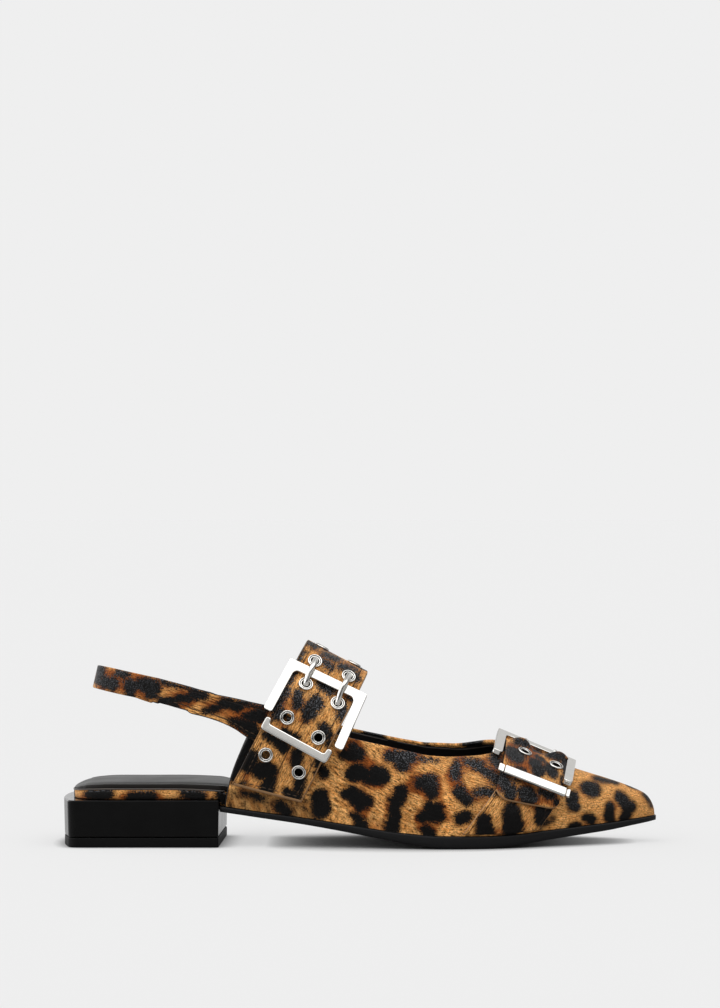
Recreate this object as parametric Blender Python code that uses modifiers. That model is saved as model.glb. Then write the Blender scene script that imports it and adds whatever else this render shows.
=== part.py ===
"""Pointed slingback flat for a right foot, with a buckled instep strap and a buckled toe strap.

Tables and named sizes are in millimetres, in a shoe frame: X runs from the back of the heel to the toe,
Y from the outer side of the foot to the inner side, and Z up from the floor. Meshes are scaled to metres.
"""

import math
from collections import namedtuple
from functools import lru_cache

import bmesh
import bpy
import numpy as np
from mathutils import Matrix, Vector

MM = 0.001
GAP = 0.3

# Overall sizes
SHOE_LENGTH = 272.0
ORIGIN_Y = 0.7

# Walls and layers
UPPER_WALL = 1.8
SLING_WALL = 1.5
INSTEP_WALL = 2.2
TOE_STRAP_WALL = 1.8
TOE_BASE_WALL = 1.2
SOLE_EDGE = 0.8
SOLE_ROUND = 0.8

# Heel block
HEEL_BREAST = 72.0
BREAST_SKEW = 0.03
HEEL_HALF_WIDTH = 28.0
HEEL_TOP = 21.4
HEEL_CORNER = 9.0
HEEL_BACK_BOW = 1.4
HEEL_DRAFT = 0.7
TIP_TOP = 4.4
TIP_INSET = 0.4

# Insole board and sock
BOARD_BACK = 4.6
BOARD_HALF_WIDTH = 26.4
BOARD_BACK_REACH = 25.0
BOARD_TOE = 262.0
SOCK_INSET = 0.5
SOCK_ROLL = 2.4

# Upper edges, as x in the side view
QUARTER_BACK = 75.5
QUARTER_TOP_BACK = 91.0
THROAT = 198.0
MEDIAL_RISE = 2.4
TUCK_START = 0.6

# Sling strap
SLING_BACK = 15.6
SLING_STRAIGHT = 78.0
SLING_FRONT = 103.0
SLING_SQUARE = 3.0
SLING_LEAN = 0.23
SLING_FAR_DROP = 3.6

# Instep strap, a band between two planes tilted forward
INSTEP_TILT = math.radians(27.6)
INSTEP_BACK, INSTEP_FRONT = 56.5, 87.0
INSTEP_END_BACK, INSTEP_END_FRONT = 10.3, 6.8

# Toe strap and its base, bands between tilted planes
TOE_TILT = math.radians(18.0)
TOE_BACK, TOE_FRONT = 178.9, 208.1
TOE_MEDIAL_END = 1.2
BASE_TILT = math.radians(37.5)
BASE_BACK, BASE_FRONT = 140.5, 166.6
BASE_LOW, BASE_REACH = 0.8, 26.0

# Buckles
INSTEP_BUCKLE_WIDTH = 39.4
TOE_BUCKLE_WIDTH = 38.4
BAR_WIDTH = 4.0
BAR_THICKNESS = 2.6
BAR_CHAMFER = 0.5
LOW_BAR_DROP = 2.4
LOW_BAR_ROLL = math.radians(48.0)
LOW_BAR_SHORTER = 2.4
PRONG_RADIUS = 1.1

# Eyelets
EYELET_RADIUS = 3.4
EYELET_HOLE = 1.9
EYELET_BARREL = 2.2
EYELET_HEIGHT = 0.7
PUNCH_RADIUS = 2.55
ROUND_STEPS = 12


class Table:
    """Rows under named columns, read between the rows along smooth curves that never overshoot."""

    def __init__(self, columns, rows, key=float):
        self.Row = namedtuple("Row", columns)
        self.key = key
        rows = sorted(rows, key=lambda row: key(row[0]))
        self.places = np.array([key(row[0]) for row in rows])
        self.values = np.array(rows, float)
        steps = np.diff(self.places)[:, None]
        chords = np.diff(self.values, axis=0) / steps
        self.slopes = np.zeros_like(self.values)
        self.slopes[0], self.slopes[-1] = chords[0], chords[-1]
        product = chords[:-1] * chords[1:]
        total = np.where(product > 0, chords[:-1] + chords[1:], 1.0)
        self.slopes[1:-1] = np.where(product > 0, 2 * product / total, 0.0)

    def at(self, place):
        place = min(max(self.key(place), self.places[0]), self.places[-1])
        i = min(max(int(np.searchsorted(self.places, place)) - 1, 0), len(self.places) - 2)
        step = self.places[i + 1] - self.places[i]
        s = (place - self.places[i]) / step
        value = ((1 + 2 * s) * (1 - s) ** 2 * self.values[i] + s * (1 - s) ** 2 * step * self.slopes[i]
                 + s * s * (3 - 2 * s) * self.values[i + 1] + s * s * (s - 1) * step * self.slopes[i + 1])
        return self.Row(*value)


def behind_toe(x):
    """Root of the distance behind the toe tip, which makes the toe round where widths run out."""
    return math.sqrt(max(SHOE_LENGTH - x, 0.0))


# Sections of the last: feather and crest heights, outer and inner widest points, squareness of flank and crown
LAST = Table("x feather crest lateral medial flank crown tuck", [
    (60, 21.0, 116.0, -27.2, 26.8, 2.6, 3.0, 1.4),
    (75, 18.6, 108.5, -27.8, 26.4, 2.6, 3.0, 1.6),
    (90, 16.4, 100.6, -28.6, 26.4, 2.6, 3.0, 1.8),
    (110, 13.8, 89.8, -30.2, 27.0, 2.6, 3.0, 2.0),
    (132, 10.6, 77.4, -33.0, 29.6, 2.5, 2.8, 2.2),
    (154, 7.5, 66.6, -36.4, 34.0, 2.4, 2.5, 2.4),
    (172, 6.1, 59.2, -38.0, 37.4, 2.25, 2.3, 2.4),
    (190, 5.9, 50.9, -36.4, 37.6, 2.15, 2.15, 2.3),
    (204, 6.2, 45.0, -32.8, 34.8, 2.1, 2.1, 2.0),
    (220, 7.6, 38.7, -26.6, 29.2, 2.0, 2.0, 1.8),
    (236, 8.9, 33.4, -19.8, 22.8, 2.0, 2.0, 1.5),
    (250, 10.1, 29.0, -13.6, 17.0, 2.0, 2.0, 1.2),
    (262, 11.4, 24.7, -8.0, 11.6, 2.0, 2.0, 0.8),
    (268, 12.0, 21.5, -4.4, 8.0, 2.0, 2.0, 0.4),
    (271, 12.3, 17.2, -1.0, 4.8, 2.0, 2.0, 0.2),
    (272, 12.4, 12.4, 1.9, 1.9, 2.0, 2.0, 0.0),
], key=behind_toe)

# Top edge of the upper in the side view, from the corner under the strap to the throat
TOPLINE = Table("x z", [
    (91, 58.0), (104, 56.2), (118, 53.0), (134, 49.0), (150, 45.6), (159, 43.6), (168, 41.8),
    (180, 41.2), (190, 41.6), (195, 42.8), (197.4, 45.0), (198, 47.4),
])

# Underside of the outsole along its length: arch, flat tread, toe spring
SOLE_BOTTOM = Table("x z", [
    (71, 16.9), (86, 14.7), (109, 11.4), (127, 8.3), (140, 5.7), (150, 3.9), (160, 1.5), (168, 0.0),
    (192, 0.0), (200, 0.6), (210, 2.2), (220, 3.9), (231, 5.4), (240, 6.4), (250, 7.5), (260, 8.8), (273, 10.5),
])

# Top of the board and thickness of the sock on it
FOOTBED = Table("x board_top sock", [
    (4, 26.2, 0.8), (6, 26.2, 1.5), (10, 26.2, 2.2), (18, 26.2, 2.7), (50, 26.2, 2.7), (70, 25.5, 2.6), (84, 23.4, 2.4), (100, 19.9, 2.2), (120, 15.5, 2.0),
    (140, 11.8, 1.8), (160, 9.2, 1.6), (180, 8.4, 1.5), (204, 8.7, 1.5), (230, 10.7, 1.4), (262, 13.6, 1.2),
])

# Upper and lower edge of the sling strap in the side view, with the small steps of its sleeve and its tab
SLING = Table("x top bottom", [
    (15, 82.6, 72.8), (30, 79.4, 69.0), (43, 76.6, 65.2), (44, 76.3, 65.9), (58.5, 72.7, 62.4), (59.5, 72.5, 61.4),
    (68, 70.4, 59.4), (75, 68.6, 56.5), (80, 67.4, 53.8), (85, 66.2, 50.4), (92, 64.5, 47.4), (103, 62.0, 46.0),
])

# Height of the toe strap's free end over the sole, from its back edge to its front edge
TOE_END = Table("across height", [
    (0.0, 23.4), (0.08, 20.6), (0.18, 17.8), (0.4, 14.2), (0.7, 11.0), (0.9, 9.6), (0.97, 10.0), (1.0, 11.8),
])

# Where the pairs of eyelets and the bars of the buckles lie, as lengths down each strap's outer side from its crest
INSTEP_ROWS = dict(first=67.5, second=50.0, below_bar=32.6, above_bar=18.4, last=3.0)
INSTEP_BARS = dict(low=58.0, high=25.4)
TOE_ROWS = dict(first=15.4, above_bar=-5.4)
TOE_BARS = dict(low=29.6, high=2.6)
TOE_PRONG_START = 8.1

# How far apart the eyelets of a pair lie, and how far the pair lies in front of the strap's middle
INSTEP_PAIR = dict(spacing=16.7, ahead=0.0)
TOE_PAIR = dict(spacing=15.6, ahead=1.7)


def blend(low, high, share):
    return low + (high - low) * share


def ease(value):
    value = min(max(value, 0.0), 1.0)
    return value * value * (3 - 2 * value)


# The last

def last_point(x, t):
    """Point of the last at x, with t from -1 at the outer feather over 0 at the crest to 1 at the inner one."""
    row = LAST.at(x)
    side = 1.0 if t > 0 else -1.0
    centre = (row.lateral + row.medial) / 2
    half = (row.medial - row.lateral) / 2
    turn = min(abs(t), 1.0) * math.pi / 2
    out = half * math.sin(turn) ** (2 / row.flank)
    out -= row.tuck * max(0.0, (abs(t) - TUCK_START) / (1 - TUCK_START)) ** 2
    rise = max(math.cos(turn), 0.0) ** (2 / row.crown)
    return Vector((x, centre + side * out, row.feather + (row.crest - row.feather) * rise))


def last_normal(x, t):
    """Outward direction of the last."""
    x = min(x, SHOE_LENGTH - 0.02)
    low, high = max(t - 0.004, -1.0), min(t + 0.004, 1.0)
    along = last_point(x + 0.01, t) - last_point(x - 0.01, t)
    return along.cross(last_point(x, high) - last_point(x, low)).normalized()


def turn_at_height(x, z):
    """Size of t where the last reaches the height z."""
    row = LAST.at(x)
    share = min(max((z - row.feather) / (row.crest - row.feather), 0.0), 1.0)
    return math.acos(share ** (row.crown / 2)) / (math.pi / 2)


def wall_y(x, z, side):
    return last_point(x, side * turn_at_height(x, z)).y


def feather_y(x, side):
    return last_point(x, side).y


# Building helpers

def shaped_grid(columns, rows, place):
    """A grid of faces with each corner where place(u, v) puts it, u and v running from 0 to 1."""
    bm = bmesh.new()
    bmesh.ops.create_grid(bm, x_segments=columns, y_segments=rows, size=0.5)
    for vert in bm.verts:
        vert.co = place(vert.co.x + 0.5, vert.co.y + 0.5)
    bmesh.ops.remove_doubles(bm, verts=bm.verts, dist=0.01)
    return bm


def walled_grid(columns, rows, outer, inner):
    """A closed wall between two shaped grids, joined round their rims."""
    bm = shaped_grid(columns, rows, outer)
    lining = shaped_grid(columns, rows, inner)
    bmesh.ops.reverse_faces(lining, faces=lining.faces)
    mesh = bpy.data.meshes.new("lining")
    lining.to_mesh(mesh)
    lining.free()
    bm.from_mesh(mesh)
    bpy.data.meshes.remove(mesh)
    bmesh.ops.bridge_loops(bm, edges=[edge for edge in bm.edges if edge.is_boundary])
    bmesh.ops.recalc_face_normals(bm, faces=bm.faces)
    return bm


def lofted(loops):
    """A closed skin through loops of equal count, capped at both ends."""
    bm = bmesh.new()
    rings = [[bm.verts.new(point) for point in loop] for loop in loops]
    for ring, after in zip(rings, rings[1:]):
        for i in range(len(ring)):
            j = (i + 1) % len(ring)
            bm.faces.new((ring[i], ring[j], after[j], after[i]))
    bm.faces.new(rings[0])
    bm.faces.new(rings[-1])
    bmesh.ops.recalc_face_normals(bm, faces=bm.faces)
    return bm


def make_material(name, colour, roughness, metallic=0.0):
    material = bpy.data.materials.new(name)
    material.use_nodes = True
    shader = material.node_tree.nodes["Principled BSDF"]
    shader.inputs["Base Color"].default_value = (*colour, 1.0)
    shader.inputs["Roughness"].default_value = roughness
    shader.inputs["Metallic"].default_value = metallic
    return material


class Shoe:
    """The collection of parts, the empty that carries them and the materials they wear."""

    def __init__(self):
        for obj in list(bpy.data.objects):
            bpy.data.objects.remove(obj)
        self.parts = self.add_collection("slingback_flat")
        self.cutters = self.add_collection("cutters")
        self.origin = bpy.data.objects.new("shoe_origin", None)
        self.origin.location = (-SHOE_LENGTH / 2 * MM, ORIGIN_Y * MM, 0.0)
        self.parts.objects.link(self.origin)
        self.print = make_material("printed_hide", (0.42, 0.21, 0.075), 0.5)
        self.lining = make_material("sock_leather", (0.03, 0.03, 0.028), 0.4)
        self.rubber = make_material("sole_rubber", (0.018, 0.018, 0.018), 0.5)
        self.lacquer = make_material("heel_lacquer", (0.008, 0.008, 0.008), 0.12)
        self.metal = make_material("buckle_metal", (0.86, 0.85, 0.82), 0.12, 1.0)

    def add_collection(self, name):
        collection = bpy.data.collections.new(name)
        bpy.context.scene.collection.children.link(collection)
        return collection

    def adopt(self, obj, material):
        """Put an object among the parts with its material."""
        obj.data.materials.clear()
        obj.data.materials.append(material)
        self.parts.objects.link(obj)
        obj.parent = self.origin
        return obj

    def add(self, name, bm, material):
        """A part from a mesh in millimetres."""
        return self.adopt(bpy.data.objects.new(name, self.mesh(name, bm)), material)

    def add_cutter(self, name, bm):
        cutter = bpy.data.objects.new(name, self.mesh(name, bm))
        cutter.hide_render = True
        cutter.display_type = "WIRE"
        cutter.parent = self.origin
        self.cutters.objects.link(cutter)
        return cutter

    def mesh(self, name, bm):
        bmesh.ops.scale(bm, vec=(MM, MM, MM), verts=bm.verts)
        mesh = bpy.data.meshes.new(name)
        bm.to_mesh(mesh)
        bm.free()
        mesh.shade_smooth()
        mesh.set_sharp_from_angle(angle=math.radians(40))
        return mesh


def thicken(obj, wall, outward):
    """Give an open surface its wall, to its outer or its inner side."""
    solid = obj.modifiers.new("wall", "SOLIDIFY")
    solid.thickness = wall * MM
    solid.offset = 1.0 if outward else -1.0
    solid.use_even_offset = True


# Sole and heel

def skewed(x, y):
    """The x of a cross line that follows the skew of the heel's front face where it is close to it."""
    return x + BREAST_SKEW * y * ease(1.2 - abs(x - HEEL_BREAST) / 10)


def sole_section(x):
    """Loop of the outsole at x: flat top, upright edge, small round to the underside."""
    top = LAST.at(x).feather - GAP
    bottom = SOLE_BOTTOM.at(x).z
    reach = x + 0.6 * ease((x - 240) / 32)
    lateral, medial = feather_y(x, -1) - SOLE_EDGE, feather_y(x, 1) + SOLE_EDGE
    inset = min(2.0, (medial - lateral) * 0.2)
    return [Vector((skewed(reach, y), y, z)) for y, z in (
        (lateral, top), (lateral - 0.2, top - 0.7), (lateral + 0.2, bottom + SOLE_ROUND), (lateral + inset, bottom),
        (medial - inset, bottom), (medial - 0.2, bottom + SOLE_ROUND), (medial + 0.2, top - 0.7), (medial, top))]


def build_outsole(shoe):
    first = HEEL_BREAST + GAP
    reaches = np.linspace(behind_toe(first), 0.35, 30)
    places = sorted({SHOE_LENGTH - r * r for r in reaches} | {168.0, 192.0})
    return shoe.add("outsole", lofted([sole_section(x) for x in places]), shoe.rubber)


def heel_outline(inset, z):
    """Outline of the heel block, rounded at the back corners, with a gently bowed back."""
    back, half = inset + HEEL_BACK_BOW, HEEL_HALF_WIDTH - inset
    corner = HEEL_CORNER - inset
    steps = 5
    outline = [(HEEL_BREAST, -half + 0.8), (HEEL_BREAST - 0.8, -half)]
    for i in range(steps + 1):
        turn = blend(0.0, math.pi / 2, i / steps)
        outline.append((back + corner - corner * math.sin(turn), -half + corner - corner * math.cos(turn)))
    outline.append((inset, 0.0))
    outline += [(x, -y) for x, y in reversed(outline[:-1])]
    return [Vector((skewed(x, y), y, z)) for x, y in outline]


def build_heel(shoe):
    levels = [(HEEL_DRAFT, TIP_TOP + GAP), (0.35, 14.0), (0.0, HEEL_TOP - 0.5), (0.5, HEEL_TOP)]
    shoe.add("heel", lofted([heel_outline(*level) for level in levels]), shoe.lacquer)
    base = HEEL_DRAFT + TIP_INSET
    levels = [(base + 1.0, 0.0), (base + 0.3, 0.4), (base, 1.2), (base, TIP_TOP)]
    shoe.add("heel_tip", lofted([heel_outline(*level) for level in levels]), shoe.rubber)


# Insole

def board_half(x, side):
    """Half width of the board: round at the heel, inside the wall of the upper farther forward."""
    behind = max(0.0, 1 - (x - BOARD_BACK) / BOARD_BACK_REACH)
    round_back = BOARD_HALF_WIDTH * max(0.0, 1 - behind ** 2.6) ** (1 / 2.6)
    inside = abs(feather_y(max(x, QUARTER_BACK), side)) - UPPER_WALL - GAP - 0.5
    return blend(round_back, min(round_back, inside), ease((x - HEEL_BREAST + 2) / 5))


def board_ends(x):
    toward_toe = ease((x - 235) / 30)
    centre = (feather_y(x, 1) + feather_y(x, -1)) / 2 * toward_toe
    if toward_toe > 0:
        half = (feather_y(x, 1) - feather_y(x, -1)) / 2 - UPPER_WALL - GAP - 1.0
        return blend(-board_half(x, -1), centre - half, toward_toe), blend(board_half(x, 1), centre + half, toward_toe)
    return -board_half(x, -1), board_half(x, 1)


def board_places():
    back = [BOARD_BACK + BOARD_BACK_REACH * (1 - math.cos(a)) for a in np.linspace(0.12, math.pi / 2, 9)]
    return back + [40.0, 52.0, 62.0, HEEL_BREAST + GAP, HEEL_BREAST + 2 * GAP, 74.5, 77.0, 80.0, 88.0, 98.0, 110.0, 122.0,
                   134.0, 146.0, 158.0, 170.0, 182.0, 194.0, 206.0, 218.0, 229.0, 239.0, 248.0, 256.0, BOARD_TOE]


def board_section(x):
    lateral, medial = board_ends(x)
    bottom = HEEL_TOP + GAP if x <= HEEL_BREAST + GAP else LAST.at(x).feather
    top = FOOTBED.at(x).board_top
    edge = min(0.8, (medial - lateral) * 0.1)
    return [Vector((skewed(x, y), y, z)) for y, z in (
        (lateral, bottom), (lateral - 0.1, blend(bottom, top, 0.5)), (lateral, top - 0.5), (lateral + edge, top),
        (medial - edge, top), (medial, top - 0.5), (medial + 0.1, blend(bottom, top, 0.5)), (medial, bottom))]


def sock_section(x):
    """Loop of the sock: rolled edge, flat top."""
    lateral, medial = board_ends(x)
    row = FOOTBED.at(x)
    low, high = row.board_top + GAP, row.board_top + GAP + row.sock
    width = medial - lateral
    inset = min(SOCK_INSET, width * 0.1)
    roll = min(SOCK_ROLL, width * 0.25)
    half = [(inset + 0.4, 0.0), (inset, 0.35), (inset + roll * 0.3, 0.8), (inset + roll, 1.0)]
    loop = [(lateral + y, blend(low, high, s)) for y, s in half]
    loop += [(medial - y, blend(low, high, s)) for y, s in reversed(half)]
    return [Vector((x + 0.5 * (x < 10), y, z)) for y, z in loop]


def build_insole(shoe):
    places = board_places()
    shoe.add("insole_board", lofted([board_section(x) for x in places]), shoe.print)
    shoe.add("insole_sock", lofted([sock_section(x) for x in places if x < BOARD_TOE - 1]), shoe.lining)


# Upper

def topline_point(share, side):
    """Place (x, t) on the top edge, from the corner under the strap at 0 to the middle of the throat at 1."""
    x = blend(QUARTER_TOP_BACK, THROAT, math.sin(share * math.pi / 2))
    rise = MEDIAL_RISE * blend(0.4, 1.0, ease((x - 150) / 30)) * ease((THROAT - x) / 8) if side > 0 else 0.0
    return x, side * turn_at_height(x, TOPLINE.at(x).z + rise)


def upper_column(u):
    """Ends of one line of the upper, from the feather to the top edge; the middle lines start at the toe tip."""
    side = -1.0 if u < 0.5 else 1.0
    share = 1 - abs(2 * u - 1)
    tip_share, tip_top = 0.82, 0.80
    if share < tip_share:
        part = share / tip_share
        x = SHOE_LENGTH - (SHOE_LENGTH - QUARTER_BACK) * (1 - part) ** 1.7
        return (x, side), topline_point(part * tip_top, side)
    part = (share - tip_share) / (1 - tip_share)
    return (SHOE_LENGTH, side * (1 - part)), topline_point(blend(tip_top, 1.0, part), side)


def upper_line(u, v):
    """Place (x, t) on the last, v rising from the feather to the top edge."""
    (low_x, low_t), (top_x, top_t) = upper_column(u)
    rise = v ** 1.9
    return blend(low_x, top_x, rise), blend(low_t, top_t, rise)


def upper_outer(u, v):
    return last_point(*upper_line(u, v))


def upper_inner(u, v):
    """Inside of the wall, which stands level with the outside where it meets the sole."""
    x, t = upper_line(u, v)
    out = last_normal(x, t) if x < SHOE_LENGTH - 0.05 else Vector((1.0, 0.0, 0.0))
    out.z *= ease(v * 3)
    return last_point(x, t) - out.normalized() * UPPER_WALL


def build_upper(shoe):
    shoe.add("upper", walled_grid(56, 9, upper_outer, upper_inner), shoe.print)


# Sling strap

def sling_path(u):
    """Place in plan (x, y share, side) of the sling from its inner front end round the back to its outer one."""
    side = 1.0 if u < 0.5 else -1.0
    share = abs(2 * u - 1)
    legs = 0.36
    if share > 1 - legs:
        return blend(SLING_STRAIGHT, SLING_FRONT, (share - 1 + legs) / legs), 1.0, side
    turn = (1 - share / (1 - legs)) * math.pi / 2
    x = SLING_STRAIGHT - (SLING_STRAIGHT - SLING_BACK) * math.sin(turn) ** (2 / SLING_SQUARE)
    return x, math.cos(turn) ** (2 / SLING_SQUARE), side


def sling_place(u, v):
    x, share, side = sling_path(u)
    row = SLING.at(x)
    rise = (v - 0.5) * (row.top - row.bottom)
    z = (row.top + row.bottom) / 2 + rise - SLING_FAR_DROP * (1 + side * share) / 2
    lean = SLING_LEAN * rise * ease((SLING_STRAIGHT - x) / 20)
    wall = wall_y(max(x, SLING_STRAIGHT), z, side) + side * GAP
    return Vector((x + lean, wall * share, z))


def build_sling(shoe):
    sling = shoe.add("sling_strap", shaped_grid(60, 3, sling_place), shoe.print)
    thicken(sling, SLING_WALL, outward=True)


# Bands over the last

class Band:
    """A band cut from the last between two parallel planes that tilt forward, lifted off it by its layers."""

    STEPS = 120

    def __init__(self, tilt, back, front, lateral_end, medial_end, lift):
        self.cosine, self.sine = math.cos(tilt), math.sin(tilt)
        self.back, self.front = back, front
        self.lateral_end, self.medial_end = lateral_end, medial_end
        self.lift = lift

    def cut(self, place, t):
        """The x at which the plane meets the line t of the last."""
        low, high = 62.0, SHOE_LENGTH
        for _ in range(26):
            x = (low + high) / 2
            point = last_point(x, t)
            low, high = (x, high) if point.x * self.cosine - point.z * self.sine < place else (low, x)
        return x

    @lru_cache(maxsize=None)
    def line(self, across):
        """Points and lengths along the band at one share of its width, and its length up to the crest."""
        points = []
        place = blend(self.back, self.front, across)
        for step in np.linspace(-1, 1, self.STEPS + 1):
            t = math.copysign(1 - (1 - abs(step)) ** 2, step)
            x = self.cut(place, t)
            height = last_point(x, t).z - LAST.at(x).feather
            points.append((last_point(x, t) + last_normal(x, t) * self.lift(x, t, height), height))
        first = self.start(points, self.lateral_end(across))
        last = self.start(points[::-1], self.medial_end(across))
        points = [first[0]] + [p for p, _ in points[first[1]:len(points) - last[1]]] + [last[0]]
        lengths = [0.0]
        for a, b in zip(points, points[1:]):
            lengths.append(lengths[-1] + (b - a).length)
        return points, lengths, lengths[self.STEPS // 2 + 1 - first[1]]

    @staticmethod
    def start(points, height):
        """Where the line first climbs past the height of the band's end."""
        for i in range(1, len(points)):
            if points[i][1] > height:
                share = (height - points[i - 1][1]) / (points[i][1] - points[i - 1][1])
                return points[i - 1][0].lerp(points[i][0], max(share, 0.0)), i

    def place(self, across, along):
        points, lengths, _ = self.line(round(across, 6))
        length = along * lengths[-1]
        i = min(max(int(np.searchsorted(lengths, length)), 1), len(lengths) - 1)
        share = (length - lengths[i - 1]) / max(lengths[i] - lengths[i - 1], 1e-9)
        return points[i - 1].lerp(points[i], min(max(share, 0.0), 1.0))

    def frame(self, across, along):
        """Place, direction along the band and outward direction on its inner face."""
        ahead = self.place(across, min(along + 0.01, 1.0)) - self.place(across, max(along - 0.01, 0.0))
        aside = self.place(min(across + 0.05, 1.0), along) - self.place(max(across - 0.05, 0.0), along)
        return self.place(across, along), ahead.normalized(), aside.cross(ahead).normalized()

    def from_end(self, length, across):
        """Share of the band that lies within a length from its outer end."""
        return length / self.line(round(across, 6))[1][-1]

    def from_crest(self, length, across=0.5):
        """Share of the band up to a place that lies a length before its crest."""
        _, lengths, crest = self.line(round(across, 6))
        return (crest - length) / lengths[-1]

    def spread(self, offset):
        """Share of the width that lies an offset from the middle."""
        return 0.5 + offset / (self.front - self.back)


def instep_lift(x, t, height):
    layers = GAP + SLING_WALL + GAP
    return blend(GAP + 0.1, layers + 0.2, ease((height - 14) / 12))


def toe_lift(x, t, height):
    layers = GAP + TOE_BASE_WALL + GAP
    return blend(GAP + 0.1, layers + 0.1, ease((-t - 0.2) / 0.3))


INSTEP = Band(INSTEP_TILT, INSTEP_BACK, INSTEP_FRONT,
              lambda across: blend(INSTEP_END_BACK, INSTEP_END_FRONT, across),
              lambda across: blend(INSTEP_END_BACK, INSTEP_END_FRONT, across), instep_lift)
TOE = Band(TOE_TILT, TOE_BACK, TOE_FRONT,
           lambda across: TOE_END.at(across).height, lambda across: TOE_MEDIAL_END, toe_lift)
BASE = Band(BASE_TILT, BASE_BACK, BASE_FRONT, lambda across: BASE_LOW, lambda across: BASE_LOW,
            lambda x, t, height: GAP)


def build_bands(shoe):
    instep = shoe.add("instep_strap", shaped_grid(4, 30, INSTEP.place), shoe.print)
    thicken(instep, INSTEP_WALL, outward=True)
    toe = shoe.add("toe_strap", shaped_grid(8, 24, TOE.place), shoe.print)
    thicken(toe, TOE_STRAP_WALL, outward=True)
    base = shaped_grid(4, 6, lambda u, v: BASE.place(u, v * BASE.from_end(BASE_REACH, u)))
    thicken(shoe.add("toe_strap_base", base, shoe.print), TOE_BASE_WALL, outward=True)
    return instep, toe


# Eyelets

def eyelet_mesh(shoe, depth):
    """Half section of an eyelet, to be turned round its axis: a domed flange on a short barrel."""
    profile = [(EYELET_HOLE + 0.3, EYELET_HEIGHT), (EYELET_RADIUS - 0.35, EYELET_HEIGHT - 0.15), (EYELET_RADIUS, 0.15),
               (EYELET_BARREL, 0.1), (EYELET_BARREL, -depth), (EYELET_HOLE, -depth), (EYELET_HOLE, 0.3)]
    bm = bmesh.new()
    verts = [bm.verts.new((r, 0.0, z)) for r, z in profile]
    for a, b in zip(verts, verts[1:] + verts[:1]):
        bm.edges.new((a, b))
    mesh = shoe.mesh("eyelet", bm)
    mesh.materials.append(shoe.metal)
    return mesh


def eyelet_seats(band, wall, rows, pair):
    """Places and outward directions of the eyelets on a band, two to each row."""
    seats = []
    for length in rows.values():
        for side in (-1, 1):
            across = band.spread(pair["ahead"] + side * pair["spacing"] / 2)
            point, _, out = band.frame(across, band.from_crest(length, across))
            seats.append((point + out * (wall + 0.12), out))
    return seats


def build_eyelets(shoe, name, strap, wall, seats):
    mesh = eyelet_mesh(shoe, wall - 0.2)
    punch = bmesh.new()
    for i, (point, out) in enumerate(seats, 1):
        turn = out.to_track_quat("Z", "Y")
        eyelet = bpy.data.objects.new(f"{name}_eyelet_{i}", mesh)
        eyelet.location = point * MM
        eyelet.rotation_euler = turn.to_euler()
        eyelet.parent = shoe.origin
        shoe.parts.objects.link(eyelet)
        screw = eyelet.modifiers.new("turn", "SCREW")
        screw.steps = screw.render_steps = ROUND_STEPS
        screw.use_merge_vertices = True
        screw.merge_threshold = 0.00001
        screw.use_smooth_shade = True
        bmesh.ops.create_cone(punch, cap_ends=True, segments=ROUND_STEPS, radius1=PUNCH_RADIUS, radius2=PUNCH_RADIUS,
                              depth=wall * 4, matrix=Matrix.Translation(point) @ turn.to_matrix().to_4x4())
    holes = strap.modifiers.new("eyelet_holes", "BOOLEAN")
    holes.operation = "DIFFERENCE"
    holes.solver = "EXACT"
    holes.object = shoe.add_cutter(f"{name}_punch", punch)


# Buckles

FramePoint = namedtuple("FramePoint", "across along out roll")


def frame_half(half_width, half_length):
    """One half of a buckle frame from the middle of its high bar to the middle of its low bar."""
    corner, steps = 2.2, 3
    points = [FramePoint(0.0, half_length, 0.0, 0.0)]
    for i in range(steps + 1):
        turn = math.pi / 2 * i / steps
        points.append(FramePoint(half_width - corner + corner * math.sin(turn),
                                 half_length - corner + corner * math.cos(turn), 0.0, 0.0))
    points.append(FramePoint(half_width, -half_length + 6.0, 0.0, 0.0))
    for share in (0.15, 0.4, 0.7, 1.0):
        points.append(FramePoint(half_width - LOW_BAR_SHORTER * share ** 2 - 1.6 * max(0.0, share - 0.6) / 0.4,
                                 -half_length + 4.2 * (1 - share), -LOW_BAR_DROP * ease(share), LOW_BAR_ROLL * share ** 2))
    points.append(FramePoint(0.0, -half_length, -LOW_BAR_DROP, LOW_BAR_ROLL))
    return points


def bar_section():
    """Corners of the bar's section as shares across it and out of it."""
    w, h, c = BAR_WIDTH / 2, BAR_THICKNESS / 2, BAR_CHAMFER
    return [(w, -h + c), (w, h - c), (w - c, h), (-w + c, h), (-w, h - c), (-w, -h + c), (-w + c, -h), (w - c, -h)]


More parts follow.
